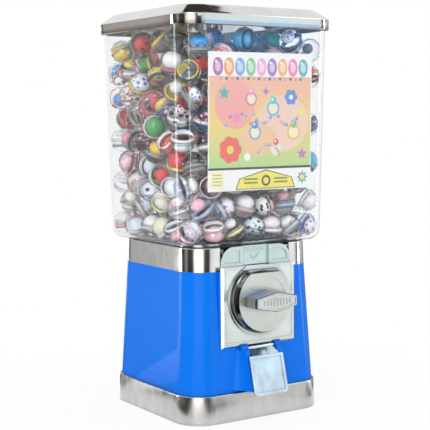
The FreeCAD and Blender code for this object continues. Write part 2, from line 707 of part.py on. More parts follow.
def bevelled_plate():
    """The faceplate's lower block: its edges slope back to the panel."""
    def outline(grow, front):
        half, low, high = PLATE_HALF + grow, PLATE_BOTTOM - grow, PLATE_STEP
        return Part.makePolygon([
            Vector(x, -front, z)
            for x, z in ((-half, low), (half, low), (half, high), (-half, high), (-half, low))
        ])
    back, front = outline(PLATE_BEVEL, PANEL_FRONT + SEAT_GAP), outline(0, PLATE_FRONT)
    slope = Part.makeLoft([back, front], True, True)
    half = MECH_OPENING_HALF - SLIDING
    tongue = box(-half, half, -PLATE_FRONT + 1, -PLATE_INSIDE, MECH_OPENING_BOTTOM + SLIDING, PLATE_STEP)
    return slope.fuse(tongue)


def arch_block():
    """The faceplate's upper block with rounded shoulders, standing in the collar's notch."""
    low, high = PLATE_STEP, ARCH_TOP
    block = box(-ARCH_HALF, ARCH_HALF, -ARCH_FRONT, -ARCH_BACK, BODY_TOP + SEAT_GAP, high)
    block = block.makeFillet(ARCH_RADIUS, along_y(at_height(block, high)))
    block = block.fuse(box(-ARCH_HALF, ARCH_HALF, -PANEL_FRONT - 1, -ARCH_FRONT, BODY_TOP + SEAT_GAP, low))
    inner = ARCH_HALF - PAD_INSET
    roof = high - PAD_INSET
    pads = box(COIN_HALF + PAD_INSET, inner, -ARCH_FRONT, -ARCH_FRONT + PAD_DEPTH, low + PAD_INSET, roof)
    corner = along_y(edges_at(pads, lambda p: abs(p.z - roof) < 1e-4 and abs(p.x - inner) < 1e-4))
    return block.cut(mirrored(pads.makeFillet(ARCH_RADIUS - PAD_INSET, corner)))


def mech_faceplate():
    bezel = fore(BEZEL_R, PLATE_FRONT + BEZEL_RISE, PLATE_FRONT)
    bezel = bezel.common(box(-BEZEL_R, BEZEL_R, -KNOB_FACE, 0, 0, PLATE_STEP))
    plate = bevelled_plate().fuse([arch_block(), bezel])
    coin_way = box(-COIN_HALF, COIN_HALF, -ARCH_FRONT, -COIN_FLOOR, COIN_SLOT_BOTTOM, ARCH_TOP)
    ear_start = Vector(EAR_INNER - 1, -HINGE_Y, HINGE_Z)
    ear_room = mirrored(rod(EAR_R + SLIDING, ear_start, RIGHT, EAR_LENGTH + 2))
    barrel_room = rod(BARREL_R + 4 * SLIDING, Vector(-MOUTH_HALF, -HINGE_Y, HINGE_Z), RIGHT, 2 * MOUTH_HALF)
    shaft_hole = fore(SHAFT_R + RUNNING, KNOB_FACE, ARCH_BACK)
    return single(plate.cut(Part.makeCompound([coin_way, ear_room, barrel_room, shaft_hole])))


def flatted_disc(radius, flat, front):
    """A closed wire: a circle about the knob's axis, cut off flat at the top."""
    half = math.sqrt(radius ** 2 - flat ** 2)
    left, right = Vector(-half, -front, AXIS_Z + flat), Vector(half, -front, AXIS_Z + flat)
    arc = Part.Arc(left, Vector(0, -front, AXIS_Z - radius), right).toShape()
    return Part.Wire([arc, Part.LineSegment(right, left).toShape()])


def knob():
    back = PLATE_FRONT + BEZEL_RISE + SLIDING
    foot, rim = flatted_disc(KNOB_R, KNOB_FLAT, back), flatted_disc(KNOB_R, KNOB_FLAT, KNOB_RIM)
    skirt = Part.makeLoft([foot, rim], True, True)
    top = flatted_disc(KNOB_FACE_R, KNOB_FACE_FLAT, KNOB_FACE)
    face = Part.makeLoft([flatted_disc(KNOB_R, KNOB_FLAT, KNOB_RIM), top], True, True)

    def lozenge(inset, front, depth):
        end, mid, half = GRIP_END_HALF - inset, GRIP_MID_HALF - inset, GRIP_HALF - inset
        points = [(-half, -end), (0, -mid), (half, -end), (half, end), (0, mid), (-half, end)]
        return extruded([(x, -front, AXIS_Z + z) for x, z in points], Vector(0, depth, 0))

    grip = lozenge(0, GRIP_FRONT, GRIP_FRONT - KNOB_FACE)
    grip = grip.makeChamfer(GRIP_BEVEL, edges_at(grip, lambda p: abs(p.y + GRIP_FRONT) < 1e-4))
    panel = lozenge(GRIP_PANEL, GRIP_FRONT, GRIP_PANEL_DEPTH)
    bore = fore(SHAFT_R, KNOB_FACE + 4, back)
    return single(skirt.fuse([face, grip]).cut(panel).cut(bore))


def knob_shaft():
    return fore(SHAFT_R - SEAT_GAP, KNOB_FACE + 4 - SEAT_GAP, SHAFT_BACK)


def coin_carrier():
    disc = fore(CARRIER_R, CARRIER_FRONT, CARRIER_BACK)
    centre = AXIS_Z + COIN_CENTRE
    pocket = fore(COIN_R, CARRIER_FRONT, CARRIER_FRONT - 2.5, 0, centre)
    mouth = box(-COIN_R, COIN_R, -CARRIER_FRONT, -CARRIER_FRONT + 2.5, centre, AXIS_Z + CARRIER_R + 1)
    return single(disc.cut([pocket, mouth, fore(SHAFT_R, CARRIER_FRONT, CARRIER_BACK)]))


def mech_backplate():
    back = BACKPLATE_FRONT - BACKPLATE_THICK
    plate = box(-BACKPLATE_HALF, BACKPLATE_HALF, -BACKPLATE_FRONT, -back, BACKPLATE_BOTTOM, BACKPLATE_TOP)
    holes = [fore(SHAFT_R + RUNNING, BACKPLATE_FRONT, back)]
    for s in (-1, 1):
        holes += [fore(SCREW_R + SEAT_GAP, BACKPLATE_FRONT, back, s * POST_X, z) for z in POST_Z]
    return plate.cut(Part.makeCompound(holes))


def mech_posts():
    return Part.makeCompound([
        fore(POST_R, PLATE_INSIDE, BACKPLATE_FRONT, s * POST_X, z).cut(
            fore(SCREW_R + SEAT_GAP, PLATE_INSIDE, BACKPLATE_FRONT, s * POST_X, z)
        )
        for s in (-1, 1) for z in POST_Z
    ])


def mech_screws():
    seat = BACKPLATE_FRONT - BACKPLATE_THICK
    return Part.makeCompound([
        screw(seat, seat - SCREW_HEAD, PLATE_INSIDE - SEAT_GAP, s * POST_X, z)
        for s in (-1, 1) for z in POST_Z
    ])


def shaft_clip():
    back = BACKPLATE_FRONT - BACKPLATE_THICK - SLIDING
    ring = fore(CLIP_R, back, back - CLIP_THICK).cut(fore(SHAFT_R, back, back - CLIP_THICK))
    return ring.cut(box(-SHAFT_R / 2, SHAFT_R / 2, -back, -back + CLIP_THICK, AXIS_Z - CLIP_R, AXIS_Z))


def drive_pinion():
    """Straight-sided teeth round a hub, one tooth pointing up between two crown teeth."""
    front, back = CROWN_R + PINION_FACE / 2, CROWN_R - PINION_FACE / 2
    root = PINION_R - PINION_ROOT
    slope = math.tan(math.radians(FLANK_DEG))
    foot_half = PINION_TOOTH / 2 + PINION_ROOT * slope
    tip_half = PINION_TOOTH / 2 - PINION_TIP * slope
    tip = PINION_R + PINION_TIP
    core = root - 1
    points = [(-foot_half, -front, AXIS_Z + core), (foot_half, -front, AXIS_Z + core)]
    points += [(foot_half, -front, AXIS_Z + root), (tip_half, -front, AXIS_Z + tip)]
    points += [(-tip_half, -front, AXIS_Z + tip), (-foot_half, -front, AXIS_Z + root)]
    tooth = extruded(points, FRONT * (back - front))
    centre = Vector(0, 0, AXIS_Z)
    teeth = [tooth.rotated(centre, FRONT, 360 / PINION_TEETH * k) for k in range(PINION_TEETH)]
    hub = fore(root, front, back).fuse(fore(SHAFT_R + 2, front, SHAFT_BACK))
    return single(hub.fuse(teeth).cut(fore(SHAFT_R, front, SHAFT_BACK)))


def pawl_layer():
    """The pawl's front and back, as distances in front of the middle."""
    middle = (CARRIER_FRONT + CARRIER_BACK) / 2
    return middle + PAWL_THICK / 2, middle - PAWL_THICK / 2


def coin_pawl():
    x, z = PAWL_PIVOT
    front, back = pawl_layer()
    gap = CARRIER_R + SLIDING
    tip_x = -math.sqrt(gap ** 2 - (PAWL_TIP_Z - AXIS_Z) ** 2)
    points = [(x - PAWL_HUB_R, z), (x - PAWL_HUB_R, PAWL_TIP_Z - 2), (tip_x - 2, PAWL_TIP_Z - 3)]
    points += [(tip_x, PAWL_TIP_Z), (x + 1, z - PAWL_HUB_R)]
    arm = extruded([(px, -front, pz) for px, pz in points], FRONT * (back - front))
    arm = arm.cut(fore(gap, front, back))
    hub, bore = fore(PAWL_HUB_R, front, back, x, z), fore(PIN_R + RUNNING, front, back, x, z)
    return single(arm.fuse(hub).cut(bore))


def pawl_pin():
    return fore(PIN_R, PLATE_INSIDE, BACKPLATE_FRONT, *PAWL_PIVOT)


def pawl_spring():
    """The torsion spring's coils, round the pin behind the pawl."""
    x, z = PAWL_PIVOT
    back = pawl_layer()[1]
    coil_r = PIN_R + SLIDING + PAWL_SPRING_WIRE
    room = back - BACKPLATE_FRONT
    coils = int(room / (2.2 * PAWL_SPRING_WIRE))
    step = room / coils
    return Part.makeCompound([
        Part.makeTorus(coil_r, PAWL_SPRING_WIRE, Vector(x, -back + step * (k + 0.5), z), FRONT)
        for k in range(coils)
    ])


PIECES = [
    base_pan, body_housing, collar, globe_gasket, globe, display_card, lid, lock_barrel, lock_plug,
    lock_nut, centre_rod, rod_nuts, wheel_cup, wheel, sweep_brush, brush_bristles, chute, chute_screws,
    flap_door, hinge_pin, mech_faceplate, knob, knob_shaft, coin_carrier, mech_backplate, mech_posts,
    mech_screws, shaft_clip, drive_pinion, coin_pawl, pawl_pin, pawl_spring,
]


def main():
    os.makedirs("parts", exist_ok=True)
    for piece in PIECES:
        shape = piece()
        shape.exportStep(f"parts/{piece.__name__}.step")
        bounds = shape.BoundBox
        print(f"{piece.__name__}: {len(shape.Solids)} solid(s), valid {shape.isValid()}, "
              f"{shape.Volume:.0f} mm3, z {bounds.ZMin:.1f} to {bounds.ZMax:.1f}")


main()
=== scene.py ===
"""Looks of the capsule vending machine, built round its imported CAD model.

Metres, in the CAD's own frame: +Z up, front towards -Y, origin under the middle of the base.
The sections below make the materials, dress the CAD nodes, fill the globe, print the card,
add the fine marks on the metal, and set up the studio and the camera.
"""

import math

import bmesh
import bpy
import numpy as np
from mathutils import Matrix, Vector


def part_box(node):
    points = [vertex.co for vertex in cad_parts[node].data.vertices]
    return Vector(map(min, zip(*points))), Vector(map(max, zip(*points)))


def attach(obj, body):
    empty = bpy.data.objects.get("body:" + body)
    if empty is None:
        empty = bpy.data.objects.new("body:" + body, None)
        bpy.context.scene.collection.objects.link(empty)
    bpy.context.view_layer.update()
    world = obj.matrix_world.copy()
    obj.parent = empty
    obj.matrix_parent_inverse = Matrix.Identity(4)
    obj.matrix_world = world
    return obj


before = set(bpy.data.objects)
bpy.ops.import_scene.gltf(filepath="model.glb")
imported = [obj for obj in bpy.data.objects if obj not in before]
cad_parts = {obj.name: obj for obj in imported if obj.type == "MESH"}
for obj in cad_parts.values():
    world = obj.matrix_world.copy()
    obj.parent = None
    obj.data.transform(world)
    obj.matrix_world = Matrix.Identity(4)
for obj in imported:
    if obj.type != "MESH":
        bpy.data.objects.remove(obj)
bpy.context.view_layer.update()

MM = 0.001
SEED = 7
TINY = 1e-9

# Camera, fitted to the photograph
IMAGE_SIZE = 430
CAMERA_AT = Vector((-0.71418, -1.08645, 0.32824))
CAMERA_YAW = math.radians(33.356)
CAMERA_PITCH = math.radians(-4.867)
CAMERA_ROLL = -0.008
FOCAL_PIXELS = 1129.55
SENSOR = 36.0

# Colours, as linear light
CHROME = (0.70, 0.70, 0.68)
SATIN = (0.74, 0.73, 0.71)
CAST = (0.60, 0.59, 0.58)
PLATE = (0.72, 0.78, 0.78)
FLAP = (0.54, 0.68, 0.77)
FLAP_VIOLET = (0.56, 0.57, 0.72)
BLUE = (0.0, 0.172, 0.80)
KNOB = (0.72, 0.75, 0.73)
STEEL = (0.52, 0.52, 0.53)
BRASS = (0.70, 0.50, 0.20)
RUBBER = (0.02, 0.02, 0.02)
GREY_PLASTIC = (0.20, 0.20, 0.21)
WHITE_PLASTIC = (0.80, 0.80, 0.78)
CLEAR_PLASTIC = (0.985, 0.99, 0.995)
CLOUDY_PLASTIC = (0.90, 0.92, 0.94)
PAPER = (0.93, 0.93, 0.90)
FIBRE_DARK = (0.72, 0.72, 0.72)
FIBRE_PALE = (0.82, 0.82, 0.82)
FLOOR = (0.93, 0.93, 0.93)
WHITE = (1.0, 1.0, 1.0)

# Sockets of the colour mix node, whose names repeat for each kind of data
MIX_SHARE = 0
MIX_FIRST = 6
MIX_SECOND = 7
MIX_RESULT = 2

# Finishes: the noise's usual run, the spread of gloss, the reliefs, the reach and samples of the painted
# shade in inner corners, and the crisp edges
NOISE_RUN = (0.3, 0.7)
GLOSS_SPREAD = 0.3
GRAIN_DEPTH = 0.2 * MM
GRAIN_DETAIL = 2.0
WAVE_DEPTH = 1.0 * MM
WAVE_DETAIL = 1.5
WAVE_SCALE = 22.0
SWIRL_DEPTH = 0.6 * MM
CORNER_SHADE_REACH = 5.0 * MM
CORNER_SHADE_SAMPLES = 6
WELD_GAP = 0.001 * MM
CRISP_ANGLE = math.radians(28)

# Painted shade for darker reflections, as a tint by height: the heights where it starts and is full, and its
# tint
LID_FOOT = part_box("lid")[0].z
ARCH_SHADE_TINT = (0.1700, 0.1710, (0.76, 0.84, 0.85))
RIM_SHADE_TINT = (LID_FOOT + 5.5 * MM, LID_FOOT + 2.0 * MM, (0.55, 0.47, 0.40))

# The knob's axis, how squarely a face of the knob looks forward to be ringed, and the rings' scale
KNOB_Z = 132.0
KNOB_AXIS = Vector((0, -0.09, KNOB_Z * MM))
FACE_RUN = (0.90, 0.98)
RING_SCALE = 330.0

# Capsules in the globe, and how they are packed
CAPSULES = 400
CAPSULE_R = 14.0 * MM
SHELL_R = 0.975 * CAPSULE_R
GLOBE_WALL = 2.5 * MM
GLOBE_CORNER = 21.8 * MM
GLOBE_FLARE = 4.8 * MM
ROD_R = 4.0 * MM
CARD_ROOM = 1.4 * MM
FILL_TOP_GAP = 7.0 * MM
RELAX_STEPS = 260
PUSH_SHARE = 0.4
SETTLE_STEP = 0.15 * MM
GROWTH_START = 0.6
GROWTH_RATE = 0.8

# The capsules' lips, and the toys: radii in millimetres, and the hoop's section as shares of its radius
LIP_R = 0.992 * SHELL_R
LIP_WIDTH = 1.6 * MM
LIP_THICK = 0.35 * MM
LIP_SIDES = 24
BEAD_RADII = (5.6, 10.2)
BEAD_SQUASH = (0.55, 1.0)
BEAD_ROOM = 1.0 * MM
HOOP_RADII = (8.5, 11.0)
HOOP_WIDTH = 0.42
HOOP_THICK = 0.1
HOOP_SIDES = 16
HOOP_DROP = 3.0 * MM
PATTERN_SPREAD = 50.0
PLAIN_SHARE = 0.62

# The toys' colours, with paler ones below a height
PALE_BELOW = 0.262
TOY_COLOURS = [
    (0.90, 0.90, 0.90), (0.85, 0.62, 0.03), (0.80, 0.05, 0.05), (0.85, 0.66, 0.03), (0.03, 0.32, 0.75),
    (0.90, 0.30, 0.48), (0.80, 0.82, 0.86), (0.02, 0.02, 0.025), (0.92, 0.92, 0.90), (0.10, 0.50, 0.75),
    (0.25, 0.26, 0.28), (0.90, 0.55, 0.65), (0.05, 0.40, 0.12), (0.75, 0.04, 0.05), (0.35, 0.10, 0.55),
    (0.85, 0.75, 0.20), (0.10, 0.10, 0.12), (0.70, 0.85, 0.92),
]
PALE_COLOURS = [
    (0.90, 0.90, 0.90), (0.92, 0.80, 0.84), (0.85, 0.88, 0.92), (0.90, 0.50, 0.60), (0.92, 0.92, 0.90),
    (0.75, 0.85, 0.92), (0.85, 0.85, 0.60), (0.90, 0.90, 0.92),
]
HOOP_COLOURS = [
    (0.85, 0.86, 0.88), (0.02, 0.02, 0.025), (0.30, 0.31, 0.33), (0.85, 0.86, 0.88), (0.55, 0.12, 0.10),
    (0.80, 0.60, 0.08), (0.05, 0.12, 0.35),
]
PALE_HOOPS = [
    (0.85, 0.86, 0.88), (0.60, 0.62, 0.64), (0.80, 0.82, 0.84), (0.85, 0.86, 0.88), (0.75, 0.45, 0.45),
    (0.85, 0.75, 0.40), (0.40, 0.50, 0.70),
]
SPOT_COLOURS = [
    (0.95, 0.95, 0.95), (0.90, 0.10, 0.12), (0.95, 0.35, 0.55), (0.03, 0.03, 0.04), (0.05, 0.25, 0.70),
]

# The card's print, in millimetres: its gap before the card, and the rise from each shape to the next
CARD_THICK = 0.6
PRINT_GAP = 0.02
PRINT_RISE = 0.00072
DISC_POINTS = 28

# Its field, from the card's lower left corner, with shares of the heights below
FIELD_MARGIN = 1.2
FIELD_BOTTOM = 25.0
FIELD_SHARE = 0.80
HORIZON_SHARE = 0.62
FIELD_OVERLAP = 4.0
SHEET_WHITE = (0.96, 0.96, 0.95)
GRASS = (0.50, 0.74, 0.30)
AMBER = (0.93, 0.68, 0.22)
CORAL = (0.92, 0.50, 0.40)

# Its row of ovals, with a string of pearls below; a glint is (right, up, radius)
CANDY = [
    (0.50, 0.16, 0.42), (0.95, 0.42, 0.10), (0.22, 0.45, 0.85), (0.25, 0.65, 0.35), (0.92, 0.45, 0.70),
    (0.40, 0.20, 0.60), (0.95, 0.50, 0.20), (0.92, 0.25, 0.50), (0.12, 0.50, 0.58),
]
OVAL_MARGIN = 5.0
OVAL_DROP = 15.5
OVAL_R = 6.5
OVAL_CORE_R = 3.6
OVAL_STRETCH = 1.5
OVAL_GLINT = (-2.2, 5.0, 1.4)
PEARLS = 16
PEARL_START = 16.0
PEARL_STEP = 7.0
PEARL_LIFT = 1.5
PEARL_R = 1.7
PEARL_INKS = [(0.45, 0.45, 0.48), (0.16, 0.16, 0.18)]

# Its motifs, each as the arguments of its drawing, and their sizes as shares of the motif's radius
PETAL_PLACE = 0.6
PETAL_R = 0.38
FLOWER_EYE = 0.3
RING_HOLE = 0.72
RING_GEM = 0.5
RING_GLINT = (-0.12, 1.12, 0.16)
RING_INSIDE = (0.97, 0.86, 0.62)
STRING_BEAD_R = 1.9
STRING_GLINT = (-0.5, 0.6, 0.6)
CLOUDS = [
    (34, 92, 26, (0.92, 0.44, 0.38), 1.0),
    (98, 72, 34, (0.93, 0.66, 0.54), 0.9),
    (66, 54, 24, (0.93, 0.60, 0.36), 0.7),
]
FLOWERS = [
    (28, 44, 15, (0.88, 0.16, 0.12), (0.95, 0.70, 0.10), 7),
    (108, 100, 9, (0.12, 0.30, 0.72), (0.90, 0.90, 0.90), 6),
]
RINGS = [
    (84, 88, 8.5, (0.20, 0.50, 0.80), (0.10, 0.65, 0.60)),
    (55, 98, 7.5, (0.75, 0.25, 0.50), (0.90, 0.35, 0.60)),
    (112, 62, 9, (0.85, 0.65, 0.10), (0.20, 0.60, 0.25)),
    (60, 62, 8, (0.25, 0.45, 0.75), (0.10, 0.30, 0.70)),
    (88, 44, 7.5, (0.80, 0.80, 0.82), (0.85, 0.15, 0.15)),
]
BEAD_STRINGS = [
    (38, 66, 17, (20, 165), CANDY[:3], 9),
    (70, 84, 12, (190, 330), CANDY[3:6], 9),
    (104, 84, 14, (200, 345), CANDY[5:], 10),
    (78, 34, 15, (15, 150), CANDY[1:5], 10),
]
STARS = [
    (20, 104, 8, (0.10, 0.50, 0.45), 5, 0.45),
    (36, 78, 7, (0.93, 0.30, 0.55), 6, 0.5),
    (122, 84, 6, (0.95, 0.85, 0.10), 5, 0.45),
    (74, 106, 5, (0.30, 0.25, 0.70), 4, 0.4),
    (50, 36, 5.5, (0.95, 0.95, 0.95), 8, 0.6),
    (124, 38, 7, (0.60, 0.20, 0.55), 5, 0.45),
]

# Its strip below the field: a rule, a pointed sign, a lined note and a sun
RULE_WIDTH = 2.4
RULE_BLACK = (0.05, 0.05, 0.05)
STRIP_BOTTOM = 0.6
STRIP_WHITE = (0.97, 0.97, 0.96)
SIGN_X = 75.0
SIGN_YELLOW = (0.93, 0.83, 0.12)
# The sign's outer and inner outline: (foot, half width, shoulder's half width, its height, peak, ink)
SIGNS = [
    (1.2, 40.0, 35.0, 13.0, 22.0, (0.06, 0.06, 0.06)),
    (2.0, 38.6, 34.0, 12.5, 20.8, SIGN_YELLOW),
]
SIGN_DISC_Y = 10.0
SIGN_DISCS = [(6.0, (0.10, 0.10, 0.10)), (3.6, SIGN_YELLOW)]
SIGN_LINE_SIDE = 20.0
SIGN_LINE_LEVELS = (8.0, 12.0)
SIGN_LINE_HALF = (9.0, 0.9)
SIGN_LINE_INK = (0.25, 0.23, 0.10)
NOTE = (3.0, 3.0, 20.0, 21.0)
NOTE_YELLOW = (0.96, 0.92, 0.55)
NOTE_LINE_LEVELS = (7.0, 10.5, 14.0, 17.5)
NOTE_LINE_ENDS = (5.5, 17.5)
NOTE_LINE_HALF = 0.6
NOTE_LINE_INK = (0.55, 0.52, 0.25)
SUN_INSET = 12.0
SUN_R = 8.0
SUN_TIPS = 8
SUN_INNER = 0.55
SUN_TEAL = (0.16, 0.48, 0.52)
SUN_EYE_R = 3.0
SUN_GOLD = (0.95, 0.80, 0.20)

# Marks on the metal, in millimetres: each face's distance in front of the middle, and the marks' rise
MARK_SINK = 0.05
COIN_FACE = 79.8
COIN_RISE = 0.5
COIN_CHEVRON = [(-6, 181), (0, 176), (6, 181), (6, 179), (0, 174), (-6, 179)]
COIN_LINE_LEVELS = (184.0, 187.0)
COIN_LINE_HALF = 13.0
COIN_LINE_WIDTH = 0.9
PLATE_FACE = 89.0
PLATE_RISE = 0.5
BORDER = (-44.5, 85.0, 44.5, 167.0)
BORDER_WIDTH = 1.1
KNOB_FACE = 100.6
ARROW_RISE = 0.4
ARROW_R = 27.5
ARROW_WIDTH = 1.6
ARROW_HEAD = 4.0
ARROW_ARC = (75, 25)
ARROW_TIP = 12
ARROW_STEPS = 14
GRIP_FACE = 122.1
RIB_RISE = 0.45
RIBS_EACH_SIDE = 4
RIB_STEP = 4.2
RIB_WIDTH = 1.4
RIB_HALF = 4.6
RIB_SHRINK = 0.5

# Studio floor, where its shadow fades out, and the world's light
FLOOR_REACH = 6.0
SHADOW_NEAR = 0.12
SHADOW_FAR = 0.45
NEAR_GLOW = 0.86
WORLD_LEVEL = 0.62

# Cards standing round the machine: (degrees from +X towards +Y, colour below, colour above)
CARDS = [
    (0, (0.60, 0.60, 0.60), (0.70, 0.70, 0.70)), (20, (0.30, 0.30, 0.30), (0.40, 0.40, 0.40)),
    (60, (0.55, 0.55, 0.55), (0.65, 0.65, 0.65)), (100, (0.40, 0.40, 0.40), (0.45, 0.45, 0.45)),
    (113, (0.12, 0.12, 0.12), (0.08, 0.07, 0.06)), (119, (0.50, 0.51, 0.52), (0.42, 0.40, 0.36)),
    (129, (0.52, 0.53, 0.54), (0.48, 0.46, 0.42)), (133, (0.08, 0.08, 0.08), (0.12, 0.11, 0.10)),
    (148, (0.08, 0.08, 0.08), (0.12, 0.11, 0.10)), (160, (0.05, 0.05, 0.05), (0.08, 0.08, 0.08)),
    (176, (0.30, 0.28, 0.25), (0.45, 0.42, 0.36)), (184, (0.04, 0.04, 0.04), (0.06, 0.06, 0.06)),
    (204, (0.04, 0.04, 0.04), (0.06, 0.06, 0.06)), (211, (1.20, 1.18, 1.10), (0.80, 0.79, 0.76)),
    (222, (2.40, 2.40, 2.30), (1.00, 1.00, 0.97)), (242, (2.20, 2.15, 2.05), (0.95, 0.94, 0.90)),
    (250, (0.30, 0.25, 0.18), (0.30, 0.28, 0.25)), (255, (0.06, 0.06, 0.06), (0.08, 0.08, 0.10)),
    (270, (0.05, 0.05, 0.06), (0.08, 0.10, 0.14)), (277, (0.95, 0.96, 0.94), (0.60, 0.75, 0.85)),
    (298, (1.10, 1.11, 1.07), (0.90, 1.08, 1.22)), (312, (1.05, 1.05, 1.00), (0.95, 1.10, 1.20)),
    (320, (0.40, 0.40, 0.40), (0.45, 0.55, 0.65)), (330, (0.06, 0.06, 0.06), (0.10, 0.10, 0.12)),
    (346, (0.10, 0.10, 0.10), (0.15, 0.15, 0.15)), (352, (0.70, 0.70, 0.70), (0.80, 0.80, 0.80)),
    (360, (0.60, 0.60, 0.60), (0.70, 0.70, 0.70)),
]
# Bright upright strips among the cards: (degrees, width in degrees, brightness)
STRIPS = [(90, 12.0, 1.8), (140, 14.0, 6.5), (337, 10.0, 6.0)]
STRIP_TOP = 0.54
CARD_DISTANCE = 1.0
CARD_LEVELS = (0.0, STRIP_TOP, 0.57, 0.75)
CARD_LIFT = 0.001
CARD_STEPS = 720
# The cards' apron on the floor: where it starts, and how bright it is beside the cards' foot
APRON_START = 0.17
APRON_SHARE = 0.75
APRON_LIMIT = 0.8

# A dark card overhead, and a patch of sky in front
CEILING_HEIGHT = 1.4
CEILING_R = 0.60
CEILING_SIDES = 32
CEILING_COLOUR = (0.05, 0.04, 0.035)
WINDOW_ARC = (288, 316)
WINDOW_DISTANCE = 0.95
WINDOW_HEIGHTS = (0.41, 0.423, 0.444, 0.466)
WINDOW_COLOURS = [(0.95, 1.1, 1.2), (0.6, 1.6, 2.8), (0.3, 2.6, 7.0), (0.9, 1.1, 1.3)]

# Lamps: (name, place, target, width and height, watts, seen in mirrors)
LAMPS = [
    ("key", (-1.3, -1.4, 1.7), (0, 0, 0.2), (0.9, 1.2), 16, True),
    ("fill", (1.6, -1.2, 1.2), (0, 0, 0.2), (1.0, 1.0), 8, True),
    ("top", (0, 0.2, 2.0), (0, 0, 0.2), (1.2, 1.2), 9, False),
    ("strip", (-1.25, -0.86, 0.32), (0, 0, 0.28), (0.12, 1.1), 4.2, True),
]


# Shader nodes

class Nodes:
    """A node tree, with short calls for the nodes used here."""

    def __init__(self, tree):
        self.tree = tree

    def add(self, kind, **values):
        """A node of that kind with its attributes and inputs set by name."""
        node = self.tree.nodes.new("ShaderNode" + kind)
        for key, value in values.items():
            if key in node.inputs:
                node.inputs[key].default_value = value
            else:
                setattr(node, key, value)
        return node

    def join(self, value, socket):
        """Links an output to a socket, or sets the socket to a number or a colour."""
        if isinstance(value, bpy.types.NodeSocket):
            self.tree.links.new(value, socket)
        elif isinstance(value, tuple):
            socket.default_value = (*value, 1.0)
        else:
            socket.default_value = value

    def fill(self, node, **values):
        """Joins values to a node's inputs by their names, with _ for a space."""
        for key, value in values.items():
            self.join(value, node.inputs[key.replace("_", " ")])

    def show(self, shader_output):
        """Makes a shader's output the material's surface."""
        self.fill(self.tree.nodes["Material Output"], Surface=shader_output)

    def mix(self, share, first, second, blend="MIX"):
        """Two colours mixed by a share."""
        node = self.add("Mix", data_type="RGBA", blend_type=blend)
        for value, index in ((share, MIX_SHARE), (first, MIX_FIRST), (second, MIX_SECOND)):
            self.join(value, node.inputs[index])
        return node.outputs[MIX_RESULT]

    def calculate(self, operation, *values):
        """The result of one operation on numbers."""
        node = self.add("Math", operation=operation)
        for value, socket in zip(values, node.inputs):
            self.join(value, socket)
        return node.outputs["Value"]

    def ramp(self, value, start, end, low=0.0, high=1.0, curve="LINEAR"):
        """The value's run from start to end, mapped to the run from low to high."""
        node = self.add("MapRange", interpolation_type=curve)
        self.fill(node, Value=value, From_Min=start, From_Max=end, To_Min=low, To_Max=high)
        return node.outputs["Result"]

    def uneven(self, cloud, low, high):
        """A noise mapped to the run from low to high."""
        return self.ramp(cloud, *NOISE_RUN, low, high)

    def attribute(self, name, output="Color"):
        return self.add("Attribute", attribute_name=name).outputs[output]

    def own_place(self):
        """The piece's own coordinates."""
        return self.add("TexCoord").outputs["Object"]

    def along(self, vector, axis):
        """A vector's share along an axis."""
        split = self.add("SeparateXYZ")
        self.fill(split, Vector=vector)
        return split.outputs[axis]

    def noise(self, scale, stretch=(1, 1, 1), detail=4.0, place=None):
        """A noise over the piece's own coordinates, or others, stretched along an axis if asked."""
        mapping = self.add("Mapping", Scale=stretch)
        texture = self.add("TexNoise", Scale=scale, Detail=detail)
        self.fill(mapping, Vector=place or self.own_place())
        self.fill(texture, Vector=mapping.outputs["Vector"])
        return texture.outputs["Fac"]

    def bumps(self, height, strength, depth, under=None):
        """The normal of a relief, laid over another normal if given."""
        node = self.add("Bump", Strength=strength, Distance=depth)
        self.fill(node, Height=height)
        if under:
            self.fill(node, Normal=under)
        return node.outputs["Normal"]


def new_material(name):
    """A material, its nodes and its main shader."""
    material = bpy.data.materials.new(name)
    material.use_nodes = True
    tree = material.node_tree
    return material, Nodes(tree), tree.nodes["Principled BSDF"]


def shade(colour, factor):
    return tuple(min(1.0, c * factor) for c in colour)


def paint_corner_shade(nodes, tone, amount):
    """The tone with painted shade in its inner corners, darker where ambient occlusion finds nearby
    surfaces.
    """
    hollows = nodes.add("AmbientOcclusion", Distance=CORNER_SHADE_REACH, samples=CORNER_SHADE_SAMPLES)
    dark = nodes.mix(hollows.outputs["AO"], (1 - amount,) * 3, WHITE)
    return nodes.mix(1.0, tone, dark, "MULTIPLY")


def paint_shade_tint(nodes, tone, clear, dull, tint):
    """The tone, tinted more and more from the clear height to the dull one, as painted shade for darker
    reflections.
    """
    height = nodes.along(nodes.own_place(), "Z")
    return nodes.mix(nodes.ramp(height, clear, dull), tone, tint, "MULTIPLY")


# Materials

def surface(name, colour, roughness, metallic=0.0, mottle=0.06, scale=60.0, stretch=(1, 1, 1), bump=0.0,
            grain=900.0, wave=0.0, crevice=0.0, shade_tint=None, **sockets):
    """A finish with cloudy colour, uneven gloss and, if asked, grain with broad waves under it.

    With the corner setting, painted shade darkens the inner corners. The tint setting is the heights where a
    tint of painted shade starts and is full, and the tint. The waves are only there with a bump.
    """
    material, nodes, shader = new_material(name)
    cloud = nodes.noise(scale, stretch)
    tone = nodes.mix(cloud, shade(colour, 1 - mottle), shade(colour, 1 + mottle))
    if shade_tint:
        tone = paint_shade_tint(nodes, tone, *shade_tint)
    if crevice:
        tone = paint_corner_shade(nodes, tone, crevice)
    gloss = nodes.uneven(cloud, roughness * (1 - GLOSS_SPREAD), roughness * (1 + GLOSS_SPREAD))
    nodes.fill(shader, Base_Color=tone, Roughness=gloss, Metallic=metallic, **sockets)
    if bump:
        broad = None
        if wave:
            broad = nodes.bumps(nodes.noise(WAVE_SCALE, stretch, WAVE_DETAIL), wave, WAVE_DEPTH)
        fine = nodes.noise(grain, stretch, GRAIN_DETAIL)
        nodes.fill(shader, Normal=nodes.bumps(fine, bump, GRAIN_DEPTH, broad))
    return material


